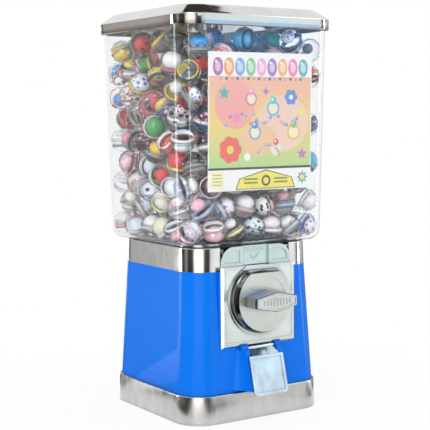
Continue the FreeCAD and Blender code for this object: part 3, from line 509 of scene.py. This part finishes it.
def turned_knob():
    """Metal turned on a lathe: rings on the faces that look along the knob's axis, and sides given a much
    darker copy of the metal as painted shade.
    """
    material, nodes, shader = new_material("turned_knob")
    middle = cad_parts["knob"].matrix_world.inverted() @ KNOB_AXIS
    mapping = nodes.add("Mapping", Location=-middle)
    texture = nodes.add("TexWave", wave_type="RINGS", rings_direction="Y", Scale=RING_SCALE,
                        Distortion=3.0, Detail=3.0)
    nodes.fill(mapping, Vector=nodes.own_place())
    nodes.fill(texture, Vector=mapping.outputs["Vector"])
    rings = texture.outputs["Fac"]
    cloud = nodes.noise(scale=45.0)
    tone = nodes.mix(cloud, shade(KNOB, 0.78), shade(KNOB, 1.15))
    lined = nodes.mix(rings, shade(KNOB, 0.88), tone)
    # Painted shade: faces that don't look along the axis take a much darker copy of the metal, standing in
    # for dark reflections.
    sides = nodes.mix(cloud, shade(KNOB, 0.13), shade(KNOB, 0.36))
    normal = nodes.add("NewGeometry").outputs["True Normal"]
    face = nodes.ramp(nodes.calculate("ABSOLUTE", nodes.along(normal, "Y")), *FACE_RUN)
    around = nodes.add("Tangent", direction_type="RADIAL", axis="Y")
    # Its colour also takes painted shade in inner corners.
    nodes.fill(
        shader, Metallic=1.0, Anisotropic=0.75, Tangent=around.outputs["Tangent"],
        Base_Color=paint_corner_shade(nodes, nodes.mix(face, sides, lined), amount=0.6),
        Roughness=nodes.calculate("MULTIPLY_ADD", face, 0.20, 0.07),
        Normal=nodes.bumps(rings, strength=0.10, depth=GRAIN_DEPTH),
    )
    return material


def plated_flap():
    """Bright plating with a rainbow cast and swirling polish marks."""
    material, nodes, shader = new_material("plated_flap")
    cloud = nodes.noise(scale=42.0, detail=3.0)
    swirl = nodes.noise(scale=95.0, stretch=(1, 1, 0.6), detail=5.0)
    cast = nodes.mix(nodes.uneven(cloud, 0.0, 1.0), shade(FLAP, 0.86), FLAP_VIOLET)
    bright = nodes.mix(nodes.uneven(swirl, 0.0, 1.0), cast, shade(FLAP, 1.22))
    # Its colour also takes painted shade in inner corners.
    nodes.fill(
        shader, Metallic=1.0, Base_Color=paint_corner_shade(nodes, bright, amount=0.7),
        Roughness=nodes.uneven(swirl, low=0.10, high=0.26),
        Normal=nodes.bumps(swirl, strength=0.30, depth=SWIRL_DEPTH),
    )
    return material


def clear_plastic():
    """Clear moulded plastic, slightly hazy in patches."""
    material, nodes, shader = new_material("clear_globe")
    gloss = nodes.uneven(nodes.noise(scale=25.0), low=0.014, high=0.03)
    nodes.fill(shader, Base_Color=CLEAR_PLASTIC, Transmission_Weight=1.0, IOR=1.4, Roughness=gloss)
    return material


def capsule_plastic():
    """Thin clear shells with a bright rim, a little cloudy in places."""
    material, nodes, shader = new_material("capsule_shell")
    haze = nodes.noise(scale=40.0)
    nodes.fill(
        shader, Transmission_Weight=1.0, IOR=1.22, Specular_IOR_Level=1.0,
        Base_Color=nodes.mix(haze, CLOUDY_PLASTIC, WHITE),
        Roughness=nodes.uneven(haze, low=0.0, high=0.06),
    )
    return material


def toy_plastic():
    """Glossy beads and bands: one colour per toy, with spots of another on some."""
    material, nodes, shader = new_material("toy_plastic")
    place = nodes.attribute("local", "Vector")
    cells = nodes.add("TexVoronoi", Scale=1.6, Randomness=0.8)
    nodes.fill(cells, Vector=place)
    dots = nodes.calculate("LESS_THAN", cells.outputs["Distance"], 0.36)
    colour = nodes.mix(dots, nodes.attribute("tint"), nodes.attribute("spot"))
    gloss = nodes.uneven(nodes.noise(scale=3.0, place=place), low=0.12, high=0.28)
    nodes.fill(shader, Base_Color=colour, Roughness=gloss)
    return material


def printed_paper():
    """Coloured print on card, with a little fibre in it."""
    material, nodes, shader = new_material("printed_card")
    fibre = nodes.noise(scale=1500.0)
    sheet = nodes.mix(fibre, FIBRE_DARK, FIBRE_PALE)
    ink = nodes.mix(1.0, nodes.attribute("ink"), sheet, "MULTIPLY")
    nodes.fill(shader, Base_Color=ink, Roughness=nodes.uneven(fibre, low=0.35, high=0.5))
    return material


# Every corner setting below paints shade into inner corners.
POLISHED = dict(roughness=0.06, metallic=1.0, mottle=0.10, bump=0.02, wave=0.30, crevice=0.5)

MATERIALS = {
    "chrome": surface("polished_chrome", CHROME, **POLISHED),
    # The lid's rim is tinted darker towards its foot: painted shade for darker reflections.
    "lid": surface("lid_chrome", CHROME, shade_tint=RIM_SHADE_TINT, **POLISHED),
    "satin": surface("plated_collar", SATIN, roughness=0.12, metallic=1.0, mottle=0.10, scale=38.0,
                     stretch=(2, 2, 1), bump=0.04, grain=420.0, wave=0.20, crevice=0.5),
    "cast": surface("cast_base", CAST, roughness=0.22, metallic=1.0, mottle=0.20, scale=34.0,
                    stretch=(2.2, 2.2, 1), bump=0.08, grain=420.0, wave=0.25, crevice=0.4),
    # The faceplate's arch is tinted darker above a height: painted shade for darker reflections.
    "stamped": surface("stamped_chrome", PLATE, roughness=0.15, metallic=1.0, mottle=0.18, scale=48.0,
                       stretch=(1, 1, 2), bump=0.12, grain=240.0, wave=0.30, crevice=0.75,
                       shade_tint=ARCH_SHADE_TINT),
    "turned": turned_knob(),
    "flap": plated_flap(),
    "paint": surface("blue_enamel", BLUE, roughness=0.40, mottle=0.05, scale=30.0, bump=0.03, grain=350.0,
                     wave=0.05, crevice=0.35, Specular_IOR_Level=0.06, Coat_Weight=0.18,
                     Coat_Roughness=0.05),
    "clear": clear_plastic(),
    "rubber": surface("gasket_rubber", RUBBER, roughness=0.6, bump=0.1),
    "steel": surface("zinc_plated_steel", STEEL, roughness=0.32, metallic=1.0, mottle=0.12, bump=0.05),
    "brass": surface("lock_brass", BRASS, roughness=0.25, metallic=1.0, mottle=0.08, bump=0.04),
    "grey": surface("grey_plastic", GREY_PLASTIC, roughness=0.5, bump=0.08),
    "white": surface("white_plastic", WHITE_PLASTIC, roughness=0.45, bump=0.06),
    "paper": surface("card_paper", PAPER, roughness=0.6, mottle=0.02, scale=900.0),
}

NODE_MATERIALS = {
    "chrome": ["lock_barrel"],
    "lid": ["lid"],
    "satin": ["collar"],
    "cast": ["base_pan"],
    "stamped": ["mech_faceplate"],
    "turned": ["knob"],
    "flap": ["flap_door"],
    "paint": ["body_housing"],
    "clear": ["globe"],
    "rubber": ["globe_gasket"],
    "steel": [
        "lock_nut", "centre_rod", "rod_nuts", "sweep_brush", "chute", "chute_screws", "hinge_pin",
        "knob_shaft", "coin_carrier", "mech_backplate", "mech_posts", "mech_screws", "shaft_clip",
        "drive_pinion", "coin_pawl", "pawl_pin", "pawl_spring",
    ],
    "brass": ["lock_plug"],
    "grey": ["wheel_cup", "brush_bristles"],
    "white": ["wheel"],
    "paper": ["display_card"],
}


def dress_nodes():
    """Gives each CAD node its finish, with smooth curves and crisp edges."""
    for finish, names in NODE_MATERIALS.items():
        for name in names:
            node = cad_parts[name]
            node.data.materials.clear()
            node.data.materials.append(MATERIALS[finish])
            weld = node.modifiers.new("weld", "WELD")
            weld.merge_threshold = WELD_GAP
            node.data.polygons.foreach_set("use_smooth", [True] * len(node.data.polygons))
            split = node.modifiers.new("crisp_edges", "EDGE_SPLIT")
            split.split_angle = CRISP_ANGLE
    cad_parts["globe"].visible_shadow = False


# Meshes made here

def add_mesh(name, vertices, faces, material):
    """An object with a mesh of that material."""
    mesh = bpy.data.meshes.new(name)
    mesh.from_pydata([tuple(v) for v in vertices], [], [tuple(f) for f in faces])
    mesh.materials.append(material)
    piece = bpy.data.objects.new(name, mesh)
    bpy.context.scene.collection.objects.link(piece)
    return piece


def add_piece(name, vertices, faces, material, body, slot=None, smooth=True):
    """A mesh in the machine's frame that rides on a CAD body."""
    piece = add_mesh(name, vertices, faces, material)
    piece.data.polygons.foreach_set("use_smooth", [smooth] * len(piece.data.polygons))
    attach(piece, body)
    return piece


def set_colours(piece, name, colours):
    """One colour per vertex, as an attribute that the material reads."""
    layer = piece.data.attributes.new(name, "FLOAT_COLOR", "POINT")
    filled = np.ones((len(colours), 4), np.float32)
    filled[:, :3] = colours
    layer.data.foreach_set("color", filled.ravel())


def ball(radius):
    """Vertices and faces of a ball."""
    shape = bmesh.new()
    bmesh.ops.create_icosphere(shape, subdivisions=2, radius=radius)
    vertices = np.array([v.co[:] for v in shape.verts])
    faces = [[v.index for v in f.verts] for f in shape.faces]
    shape.free()
    return vertices, faces


def band(radius, width, thickness, around):
    """A flat ring, as a loop of four-sided sections about Z."""
    section = [(radius, -width / 2), (radius + thickness, 0), (radius, width / 2), (radius - thickness, 0)]
    sides = len(section)
    vertices, faces = [], []
    for k in range(around):
        angle = 2 * math.pi * k / around
        vertices += [(r * math.cos(angle), r * math.sin(angle), z) for r, z in section]
        here, after = sides * k, sides * ((k + 1) % around)
        for i in range(sides):
            following = (i + 1) % sides
            faces.append([here + i, after + i, after + following, here + following])
    return np.array(vertices), faces


def gather(parts):
    """Many (vertices, faces) as one mesh's lists."""
    vertices, faces, start = [], [], 0
    for part_vertices, part_faces in parts:
        vertices.append(part_vertices)
        faces += [[i + start for i in face] for face in part_faces]
        start += len(part_vertices)
    return np.concatenate(vertices), faces


# Capsules

def hold_in_globe(points, low, high):
    """Moves capsule centres back inside the globe's walls, off the rod and off the card."""
    share = np.clip((points[:, 2] - low.z) / (high.z - low.z), 0, 1)
    half = (high.x - GLOBE_FLARE + GLOBE_FLARE * share) - GLOBE_WALL - CAPSULE_R
    corner = GLOBE_CORNER - CAPSULE_R
    flat = (half - corner)[:, None]
    out = np.abs(points[:, :2]) - flat
    far = np.linalg.norm(np.maximum(out, 0), axis=1)
    pull = np.where(far > corner, corner / np.maximum(far, TINY), 1.0)[:, None]
    kept = np.where(out > 0, out * pull, out) + flat
    points[:, :2] = np.sign(points[:, :2]) * np.maximum(kept, 0)
    points[:, 1] = np.maximum(points[:, 1], -half + CARD_ROOM)
    spread = np.linalg.norm(points[:, :2], axis=1)
    clear = ROD_R + CAPSULE_R
    points[:, :2] *= np.maximum(1, clear / np.maximum(spread, TINY))[:, None]
    floor = low.z + GLOBE_WALL + CAPSULE_R
    top = high.z - FILL_TOP_GAP - CAPSULE_R
    points[:, 2] = np.clip(points[:, 2], floor, top)
    return points


def pack_capsules():
    """Capsule centres: random points pushed apart as the capsules grow, while they settle."""
    low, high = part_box("globe")
    random = np.random.default_rng(SEED)
    points = random.uniform([low.x, low.y, low.z], [high.x, high.y, high.z], (CAPSULES, 3))
    for step in range(RELAX_STEPS):
        reach = 2 * CAPSULE_R * min(1.0, GROWTH_START + GROWTH_RATE * step / RELAX_STEPS)
        apart = points[:, None] - points[None]
        gap = np.linalg.norm(apart, axis=2)
        np.fill_diagonal(gap, 1.0)
        push = np.maximum(reach - gap, 0) / gap
        points += PUSH_SHARE * (apart * push[:, :, None]).sum(1)
        points[:, 2] -= SETTLE_STEP * (1 - step / RELAX_STEPS)
        points = hold_in_globe(points, low, high)
    return points, random


def random_turn(random):
    axis = Vector(random.normal(size=3))
    return np.array(Matrix.Rotation(random.uniform(0, 2 * math.pi), 3, axis.normalized()))


def fill_globe():
    """Clear two-part capsules, each with a ring toy: a band and a bead."""
    centres, random = pack_capsules()
    shell, lip = ball(SHELL_R), band(LIP_R, LIP_WIDTH, LIP_THICK, LIP_SIDES)
    bead, hoop = ball(1.0), band(1.0, HOOP_WIDTH, HOOP_THICK, HOOP_SIDES)
    shells, toys, tints, spots, local = [], [], [], [], []
    for centre in centres:
        turn = random_turn(random)
        shells += [(part[0] @ turn.T + centre, part[1]) for part in (shell, lip)]
        low = centre[2] < PALE_BELOW
        beads, hoops = (PALE_COLOURS, PALE_HOOPS) if low else (TOY_COLOURS, HOOP_COLOURS)
        bead_colour = beads[random.integers(len(beads))]
        accent = SPOT_COLOURS[random.integers(len(SPOT_COLOURS))]
        plain = random.uniform() < PLAIN_SHARE
        bead_r = random.uniform(*BEAD_RADII) * MM
        hoop_r = random.uniform(*HOOP_RADII) * MM
        hoop_colour = hoops[random.integers(len(hoops))]
        squash = np.array([1.0, 1.0, random.uniform(*BEAD_SQUASH)])
        for part, size, lift, tint in (
            (bead, bead_r * squash, SHELL_R - bead_r - BEAD_ROOM, bead_colour),
            (hoop, hoop_r, -HOOP_DROP, hoop_colour),
        ):
            turned = (part[0] * size + np.array((0, 0, lift))) @ turn.T + centre
            toys.append((turned, part[1]))
            tints.append(np.tile(tint, (len(turned), 1)))
            spots.append(np.tile(tint if plain else accent, (len(turned), 1)))
            local.append(part[0] + random.uniform(-PATTERN_SPREAD, PATTERN_SPREAD, 3))
    clear = add_piece("capsule_shells", *gather(shells), capsule_plastic(), "cabinet", "clear")
    clear.visible_shadow = False
    piece = add_piece("capsule_toys", *gather(toys), toy_plastic(), "cabinet")
    set_colours(piece, "tint", np.concatenate(tints))
    set_colours(piece, "spot", np.concatenate(spots))
    layer = piece.data.attributes.new("local", "FLOAT_VECTOR", "POINT")
    layer.data.foreach_set("vector", np.concatenate(local).astype(np.float32).ravel())


# The card's print: flat shapes laid on the card

class CardPrint:
    """Collects flat coloured shapes and lays them just in front of the card's face."""

    def __init__(self):
        self.low, self.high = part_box("display_card")
        self.width = (self.high.x - self.low.x) / MM
        self.height = (self.high.z - self.low.z) / MM
        self.foot_y = self.high.y - CARD_THICK * MM
        self.lean = self.foot_y - self.low.y
        self.parts, self.inks = [], []

    def place(self, x, y):
        """A card point in the machine's frame; the card leans with the globe's wall."""
        gap = PRINT_GAP + PRINT_RISE * (len(self.parts) + 1)
        front = self.foot_y - self.lean * y / self.height
        return self.low.x + x * MM, front - gap * MM, self.low.z + y * MM

    def shape(self, points, ink):
        self.parts.append((np.array([self.place(x, y) for x, y in points]), [list(range(len(points)))]))
        self.inks += [ink] * len(points)

    def block(self, x0, y0, x1, y1, ink):
        self.shape(rectangle(x0, y0, x1, y1), ink)

    def fade(self, x0, y0, x1, y1, low_ink, high_ink):
        """A rectangle that shades from one ink to another, upwards."""
        self.block(x0, y0, x1, y1, low_ink)
        self.inks[-2:] = [high_ink, high_ink]

    def disc(self, x, y, radius, ink, stretch=1.0):
        angles = [2 * math.pi * k / DISC_POINTS for k in range(DISC_POINTS)]
        self.shape([(x + radius * math.cos(a), y + radius * stretch * math.sin(a)) for a in angles], ink)

    def glint(self, x, y, right, up, radius):
        self.disc(x + right, y + up, radius, WHITE)

    def star(self, x, y, radius, ink, tips, inner):
        points = []
        for k in range(2 * tips):
            a = math.pi / 2 + math.pi * k / tips
            r = radius if k % 2 == 0 else radius * inner
            points.append((x + r * math.cos(a), y + r * math.sin(a)))
        self.shape(points, ink)

    def flower(self, x, y, radius, ink, eye, petals):
        for k in range(petals):
            a = 2 * math.pi * k / petals
            out = radius * PETAL_PLACE
            self.disc(x + out * math.cos(a), y + out * math.sin(a), radius * PETAL_R, ink)
        self.disc(x, y, radius * FLOWER_EYE, eye)

    def finger_ring(self, x, y, radius, ink, gem):
        self.disc(x, y, radius, ink)
        self.disc(x, y, radius * RING_HOLE, RING_INSIDE)
        self.disc(x, y + radius, radius * RING_GEM, gem)
        self.glint(x, y, *(radius * share for share in RING_GLINT))

    def bead_string(self, x, y, radius, arc, inks, count):
        """A bracelet: beads along an arc."""
        start, end = arc
        for k in range(count):
            a = math.radians(start + (end - start) * k / (count - 1))
            bead_x, bead_y = x + radius * math.cos(a), y + radius * math.sin(a)
            self.disc(bead_x, bead_y, STRING_BEAD_R, inks[k % len(inks)])
            self.glint(bead_x, bead_y, *STRING_GLINT)

    def gem_oval(self, x, y, ink):
        self.disc(x, y, OVAL_R, ink, OVAL_STRETCH)
        self.disc(x, y, OVAL_CORE_R, tuple((1 + c) / 2 for c in ink), OVAL_STRETCH)
        self.glint(x, y, *OVAL_GLINT)

    def done(self):
        vertices, faces = gather(self.parts)
        piece = add_piece("card_print", vertices, faces, printed_paper(), "cabinet", "card", smooth=False)
        set_colours(piece, "ink", np.array(self.inks))


def rectangle(left, bottom, right, top):
    return [(left, bottom), (right, bottom), (right, top), (left, top)]


def print_field(card):
    """A white sheet with a row of ovals over a pastel field of flowers, rings, bead strings and stars."""
    field_top = FIELD_SHARE * card.height
    horizon = HORIZON_SHARE * field_top
    right = card.width - FIELD_MARGIN
    card.block(0, 0, card.width, card.height, SHEET_WHITE)
    card.fade(FIELD_MARGIN, FIELD_BOTTOM, right, horizon, GRASS, AMBER)
    card.fade(FIELD_MARGIN, horizon, right, field_top + FIELD_OVERLAP, AMBER, CORAL)
    for cloud in CLOUDS:
        card.disc(*cloud)
    step = (card.width - 2 * OVAL_MARGIN) / len(CANDY)
    for k, ink in enumerate(CANDY):
        card.gem_oval(OVAL_MARGIN + step * (k + 0.5), card.height - OVAL_DROP, ink)
    for k in range(PEARLS):
        card.disc(PEARL_START + PEARL_STEP * k, field_top + PEARL_LIFT, PEARL_R, PEARL_INKS[k % 2])
    for draw, motifs in (
        (card.flower, FLOWERS), (card.finger_ring, RINGS), (card.bead_string, BEAD_STRINGS),
        (card.star, STARS),
    ):
        for motif in motifs:
            draw(*motif)


def print_strip(card):
    """The strip below the field: a rule, a pointed sign, a lined note and a sun."""
    strip_top = FIELD_BOTTOM - RULE_WIDTH
    card.block(0, strip_top, card.width, FIELD_BOTTOM, RULE_BLACK)
    card.block(0, STRIP_BOTTOM, card.width, strip_top, STRIP_WHITE)
    for foot, half, shoulder, shoulder_y, peak, ink in SIGNS:
        outline = [(-half, foot), (half, foot), (shoulder, shoulder_y), (0, peak), (-shoulder, shoulder_y)]
        card.shape([(SIGN_X + x, y) for x, y in outline], ink)
    for radius, ink in SIGN_DISCS:
        card.disc(SIGN_X, SIGN_DISC_Y, radius, ink)
    long, thick = SIGN_LINE_HALF
    for x in (SIGN_X - SIGN_LINE_SIDE, SIGN_X + SIGN_LINE_SIDE):
        for y in SIGN_LINE_LEVELS:
            card.block(x - long, y - thick, x + long, y + thick, SIGN_LINE_INK)
    card.block(*NOTE, NOTE_YELLOW)
    start, end = NOTE_LINE_ENDS
    for y in NOTE_LINE_LEVELS:
        card.block(start, y - NOTE_LINE_HALF, end, y + NOTE_LINE_HALF, NOTE_LINE_INK)
    sun_x = card.width - SUN_INSET
    card.star(sun_x, SUN_INSET, SUN_R, SUN_TEAL, SUN_TIPS, SUN_INNER)
    card.disc(sun_x, SUN_INSET, SUN_EYE_R, SUN_GOLD)


def print_card():
    card = CardPrint()
    print_field(card)
    print_strip(card)
    card.done()


# Fine marks on the metal

def raised(name, outlines, front, rise, material, body):
    """Thin plates in relief on an upright face: (x, z) outlines in millimetres, at a distance in front."""
    vertices, faces = [], []
    for outline in outlines:
        start, count = len(vertices), len(outline)
        for distance in (front + rise, front - MARK_SINK):
            vertices += [(x * MM, -distance * MM, z * MM) for x, z in outline]
        faces.append(list(range(start, start + count)))
        for k in range(count):
            after = (k + 1) % count
            faces.append([start + k, start + count + k, start + count + after, start + after])
    add_piece(name, vertices, faces, material, body, "chrome", smooth=False)


def about_knob(radius, angle):
    return radius * math.cos(angle), KNOB_Z + radius * math.sin(angle)


def coin_arrow():
    """A chevron under two lines."""
    lines = []
    for z in COIN_LINE_LEVELS:
        lines.append(rectangle(-COIN_LINE_HALF, z, COIN_LINE_HALF, z + COIN_LINE_WIDTH))
    return [COIN_CHEVRON] + lines


def knob_arrow():
    """An arc about the knob's axis with a head at its end."""
    start, end = ARROW_ARC
    angles = [math.radians(start + (end - start) * k / ARROW_STEPS) for k in range(ARROW_STEPS + 1)]
    outer = [about_knob(ARROW_R + ARROW_WIDTH / 2, a) for a in angles]
    inner = [about_knob(ARROW_R - ARROW_WIDTH / 2, a) for a in angles]
    last = angles[-1]
    head = [
        about_knob(ARROW_R + ARROW_HEAD / 2, last),
        about_knob(ARROW_R, last - math.radians(ARROW_TIP)),
        about_knob(ARROW_R - ARROW_HEAD / 2, last),
    ]
    return [outer + head + inner[::-1]]


def grip_ribs():
    """Upright ribs on the knob's bar, shorter towards its ends."""
    ribs = []
    for k in range(-RIBS_EACH_SIDE, RIBS_EACH_SIDE + 1):
        x = RIB_STEP * k
        half = RIB_HALF - RIB_SHRINK * abs(k)
        ribs.append(rectangle(x - RIB_WIDTH / 2, KNOB_Z - half, x + RIB_WIDTH / 2, KNOB_Z + half))
    return ribs


def plate_border():
    """Four bars round a rectangle."""
    left, bottom, right, top = BORDER
    inner_bottom, inner_top = bottom + BORDER_WIDTH, top - BORDER_WIDTH
    return [
        rectangle(left, bottom, right, inner_bottom),
        rectangle(left, inner_top, right, top),
        rectangle(left, inner_bottom, left + BORDER_WIDTH, inner_top),
        rectangle(right - BORDER_WIDTH, inner_bottom, right, inner_top),
    ]


def mark_metal():
    stamped = MATERIALS["stamped"]
    raised("coin_arrow", coin_arrow(), COIN_FACE, COIN_RISE, stamped, "cabinet")
    raised("knob_arrow", knob_arrow(), KNOB_FACE, ARROW_RISE, MATERIALS["chrome"], "turn_handle")
    raised("grip_ribs", grip_ribs(), GRIP_FACE, RIB_RISE, MATERIALS["steel"], "turn_handle")
    raised("plate_border", plate_border(), PLATE_FACE, PLATE_RISE, stamped, "cabinet")


# Studio

def stage_mesh(name, vertices, faces, material):
    piece = add_mesh(name, vertices, faces, material)
    return piece


def seen_directly(nodes):
    """1 for rays from the camera, off shiny metal or through glass, else 0."""
    path = nodes.add("LightPath").outputs
    first = nodes.calculate("MAXIMUM", path["Is Camera Ray"], path["Is Glossy Ray"])
    return nodes.calculate("MAXIMUM", first, path["Is Transmission Ray"])


def build_world():
    """White where it is seen, and dimmer as a light."""
    world = bpy.data.worlds.new("studio")
    bpy.context.scene.world = world
    world.use_nodes = True
    nodes = Nodes(world.node_tree)
    level = nodes.ramp(seen_directly(nodes), 0.0, 1.0, WORLD_LEVEL, 1.0)
    nodes.fill(world.node_tree.nodes["Background"], Color=WHITE, Strength=level)


def build_floor():
    """A white floor that keeps a soft shadow round the machine."""
    material, nodes, shader = new_material("white_floor")
    nodes.fill(shader, Base_Color=FLOOR, Roughness=0.9)
    glow = nodes.add("Emission", Strength=1.0)
    distance = nodes.add("VectorMath", operation="LENGTH")
    nodes.join(nodes.own_place(), distance.inputs[0])
    far = nodes.ramp(distance.outputs["Value"], SHADOW_NEAR, SHADOW_FAR, NEAR_GLOW, 1.0, "SMOOTHSTEP")
    amount = nodes.calculate("MULTIPLY", seen_directly(nodes), far)
    blend = nodes.add("MixShader")
    for source, socket in zip((amount, shader.outputs["BSDF"], glow.outputs["Emission"]), blend.inputs):
        nodes.join(source, socket)
    nodes.show(blend.outputs["Shader"])
    corners = [(x, y, 0) for x, y in rectangle(-FLOOR_REACH, -FLOOR_REACH, FLOOR_REACH, FLOOR_REACH)]
    stage_mesh("floor", corners, [(0, 1, 2, 3)], material)


def card_colours(angles, level):
    """The cards' colours round the ring at a level, with the strips up to their top."""
    share = level / CARD_LEVELS[-1]
    places = [card[0] for card in CARDS]
    tones = np.array([np.array(below) * (1 - share) + np.array(above) * share for _, below, above in CARDS])
    colours = np.stack([np.interp(angles, places, channel) for channel in tones.T], 1)
    if level <= STRIP_TOP:
        for centre, width, brightness in STRIPS:
            colours[np.abs(angles - centre) < width / 2] = brightness
    return colours


def mirror_card(name, vertices, faces, colours):
    """A glowing card that only shiny surfaces see."""
    material, nodes, _ = new_material(name)
    glow = nodes.add("Emission", Strength=1.0)
    nodes.fill(glow, Color=nodes.attribute("tone"))
    nodes.show(glow.outputs["Emission"])
    card = stage_mesh(name, vertices, faces, material)
    set_colours(card, "tone", colours)
    for ray in ("camera", "diffuse", "shadow", "transmission", "volume_scatter"):
        setattr(card, f"visible_{ray}", False)


def build_cards():
    """A ring of cards and their apron on the floor, so that chrome shows bands of light and dark."""
    angles = np.arange(CARD_STEPS) * 360 / CARD_STEPS
    rows = 1 + len(CARD_LEVELS)
    vertices, faces = [], []
    for k, angle in enumerate(np.radians(angles)):
        x, y = math.cos(angle), math.sin(angle)
        vertices.append((x * APRON_START, y * APRON_START, CARD_LIFT))
        vertices += [(x * CARD_DISTANCE, y * CARD_DISTANCE, level + CARD_LIFT) for level in CARD_LEVELS]
        here, after = rows * k, rows * ((k + 1) % CARD_STEPS)
        faces += [(here + i, after + i, after + i + 1, here + i + 1) for i in range(rows - 1)]
    levels = [card_colours(angles, level) for level in CARD_LEVELS]
    apron = np.minimum(levels[0] * APRON_SHARE, APRON_LIMIT)
    mirror_card("studio_cards", vertices, faces, np.stack([apron, *levels], 1).reshape(-1, 3))


def build_window():
    """A patch of blue sky that the globe's front mirrors."""
    corners = []
    for angle in (math.radians(a) for a in WINDOW_ARC):
        x, y = WINDOW_DISTANCE * math.cos(angle), WINDOW_DISTANCE * math.sin(angle)
        corners += [(x, y, z) for z in WINDOW_HEIGHTS]
    rows = len(WINDOW_HEIGHTS)
    faces = [(i, i + rows, i + rows + 1, i + 1) for i in range(rows - 1)]
    mirror_card("sky_window", corners, faces, np.array(WINDOW_COLOURS * 2))


def build_ceiling():
    """A dark round card overhead that the lid's corners mirror."""
    angles = [2 * math.pi * k / CEILING_SIDES for k in range(CEILING_SIDES)]
    corners = [(CEILING_R * math.cos(a), CEILING_R * math.sin(a), CEILING_HEIGHT) for a in angles]
    mirror_card("dark_ceiling", corners, [range(CEILING_SIDES)], np.tile(CEILING_COLOUR, (CEILING_SIDES, 1)))


def add_lamp(name, place, target, size, power, mirrored):
    lamp = bpy.data.lights.new(name, "AREA")
    lamp.shape = "RECTANGLE"
    lamp.size, lamp.size_y = size
    lamp.energy = power
    holder = bpy.data.objects.new(name, lamp)
    holder.location = place
    holder.rotation_euler = (Vector(target) - Vector(place)).to_track_quat("-Z", "Y").to_euler()
    holder.visible_glossy = mirrored
    bpy.context.scene.collection.objects.link(holder)


def build_camera():
    camera = bpy.data.cameras.new("camera")
    camera.sensor_width = SENSOR
    camera.lens = FOCAL_PIXELS / IMAGE_SIZE * SENSOR
    holder = bpy.data.objects.new("camera", camera)
    look = Vector((
        math.sin(CAMERA_YAW) * math.cos(CAMERA_PITCH), math.cos(CAMERA_YAW) * math.cos(CAMERA_PITCH),
        math.sin(CAMERA_PITCH),
    ))
    level = Vector((math.cos(CAMERA_YAW), -math.sin(CAMERA_YAW), 0))
    upright = level.cross(look)
    right = level * math.cos(CAMERA_ROLL) + upright * math.sin(CAMERA_ROLL)
    up = upright * math.cos(CAMERA_ROLL) - level * math.sin(CAMERA_ROLL)
    turn = Matrix((right, up, -look)).transposed()
    holder.matrix_world = Matrix.Translation(CAMERA_AT) @ turn.to_4x4()
    bpy.context.scene.collection.objects.link(holder)
    bpy.context.scene.camera = holder


dress_nodes()
fill_globe()
print_card()
mark_metal()
build_world()
build_floor()
build_cards()
build_window()
build_ceiling()
for lamp_values in LAMPS:
    add_lamp(*lamp_values)
build_camera()
bpy.context.scene.view_settings.view_transform = "Standard"
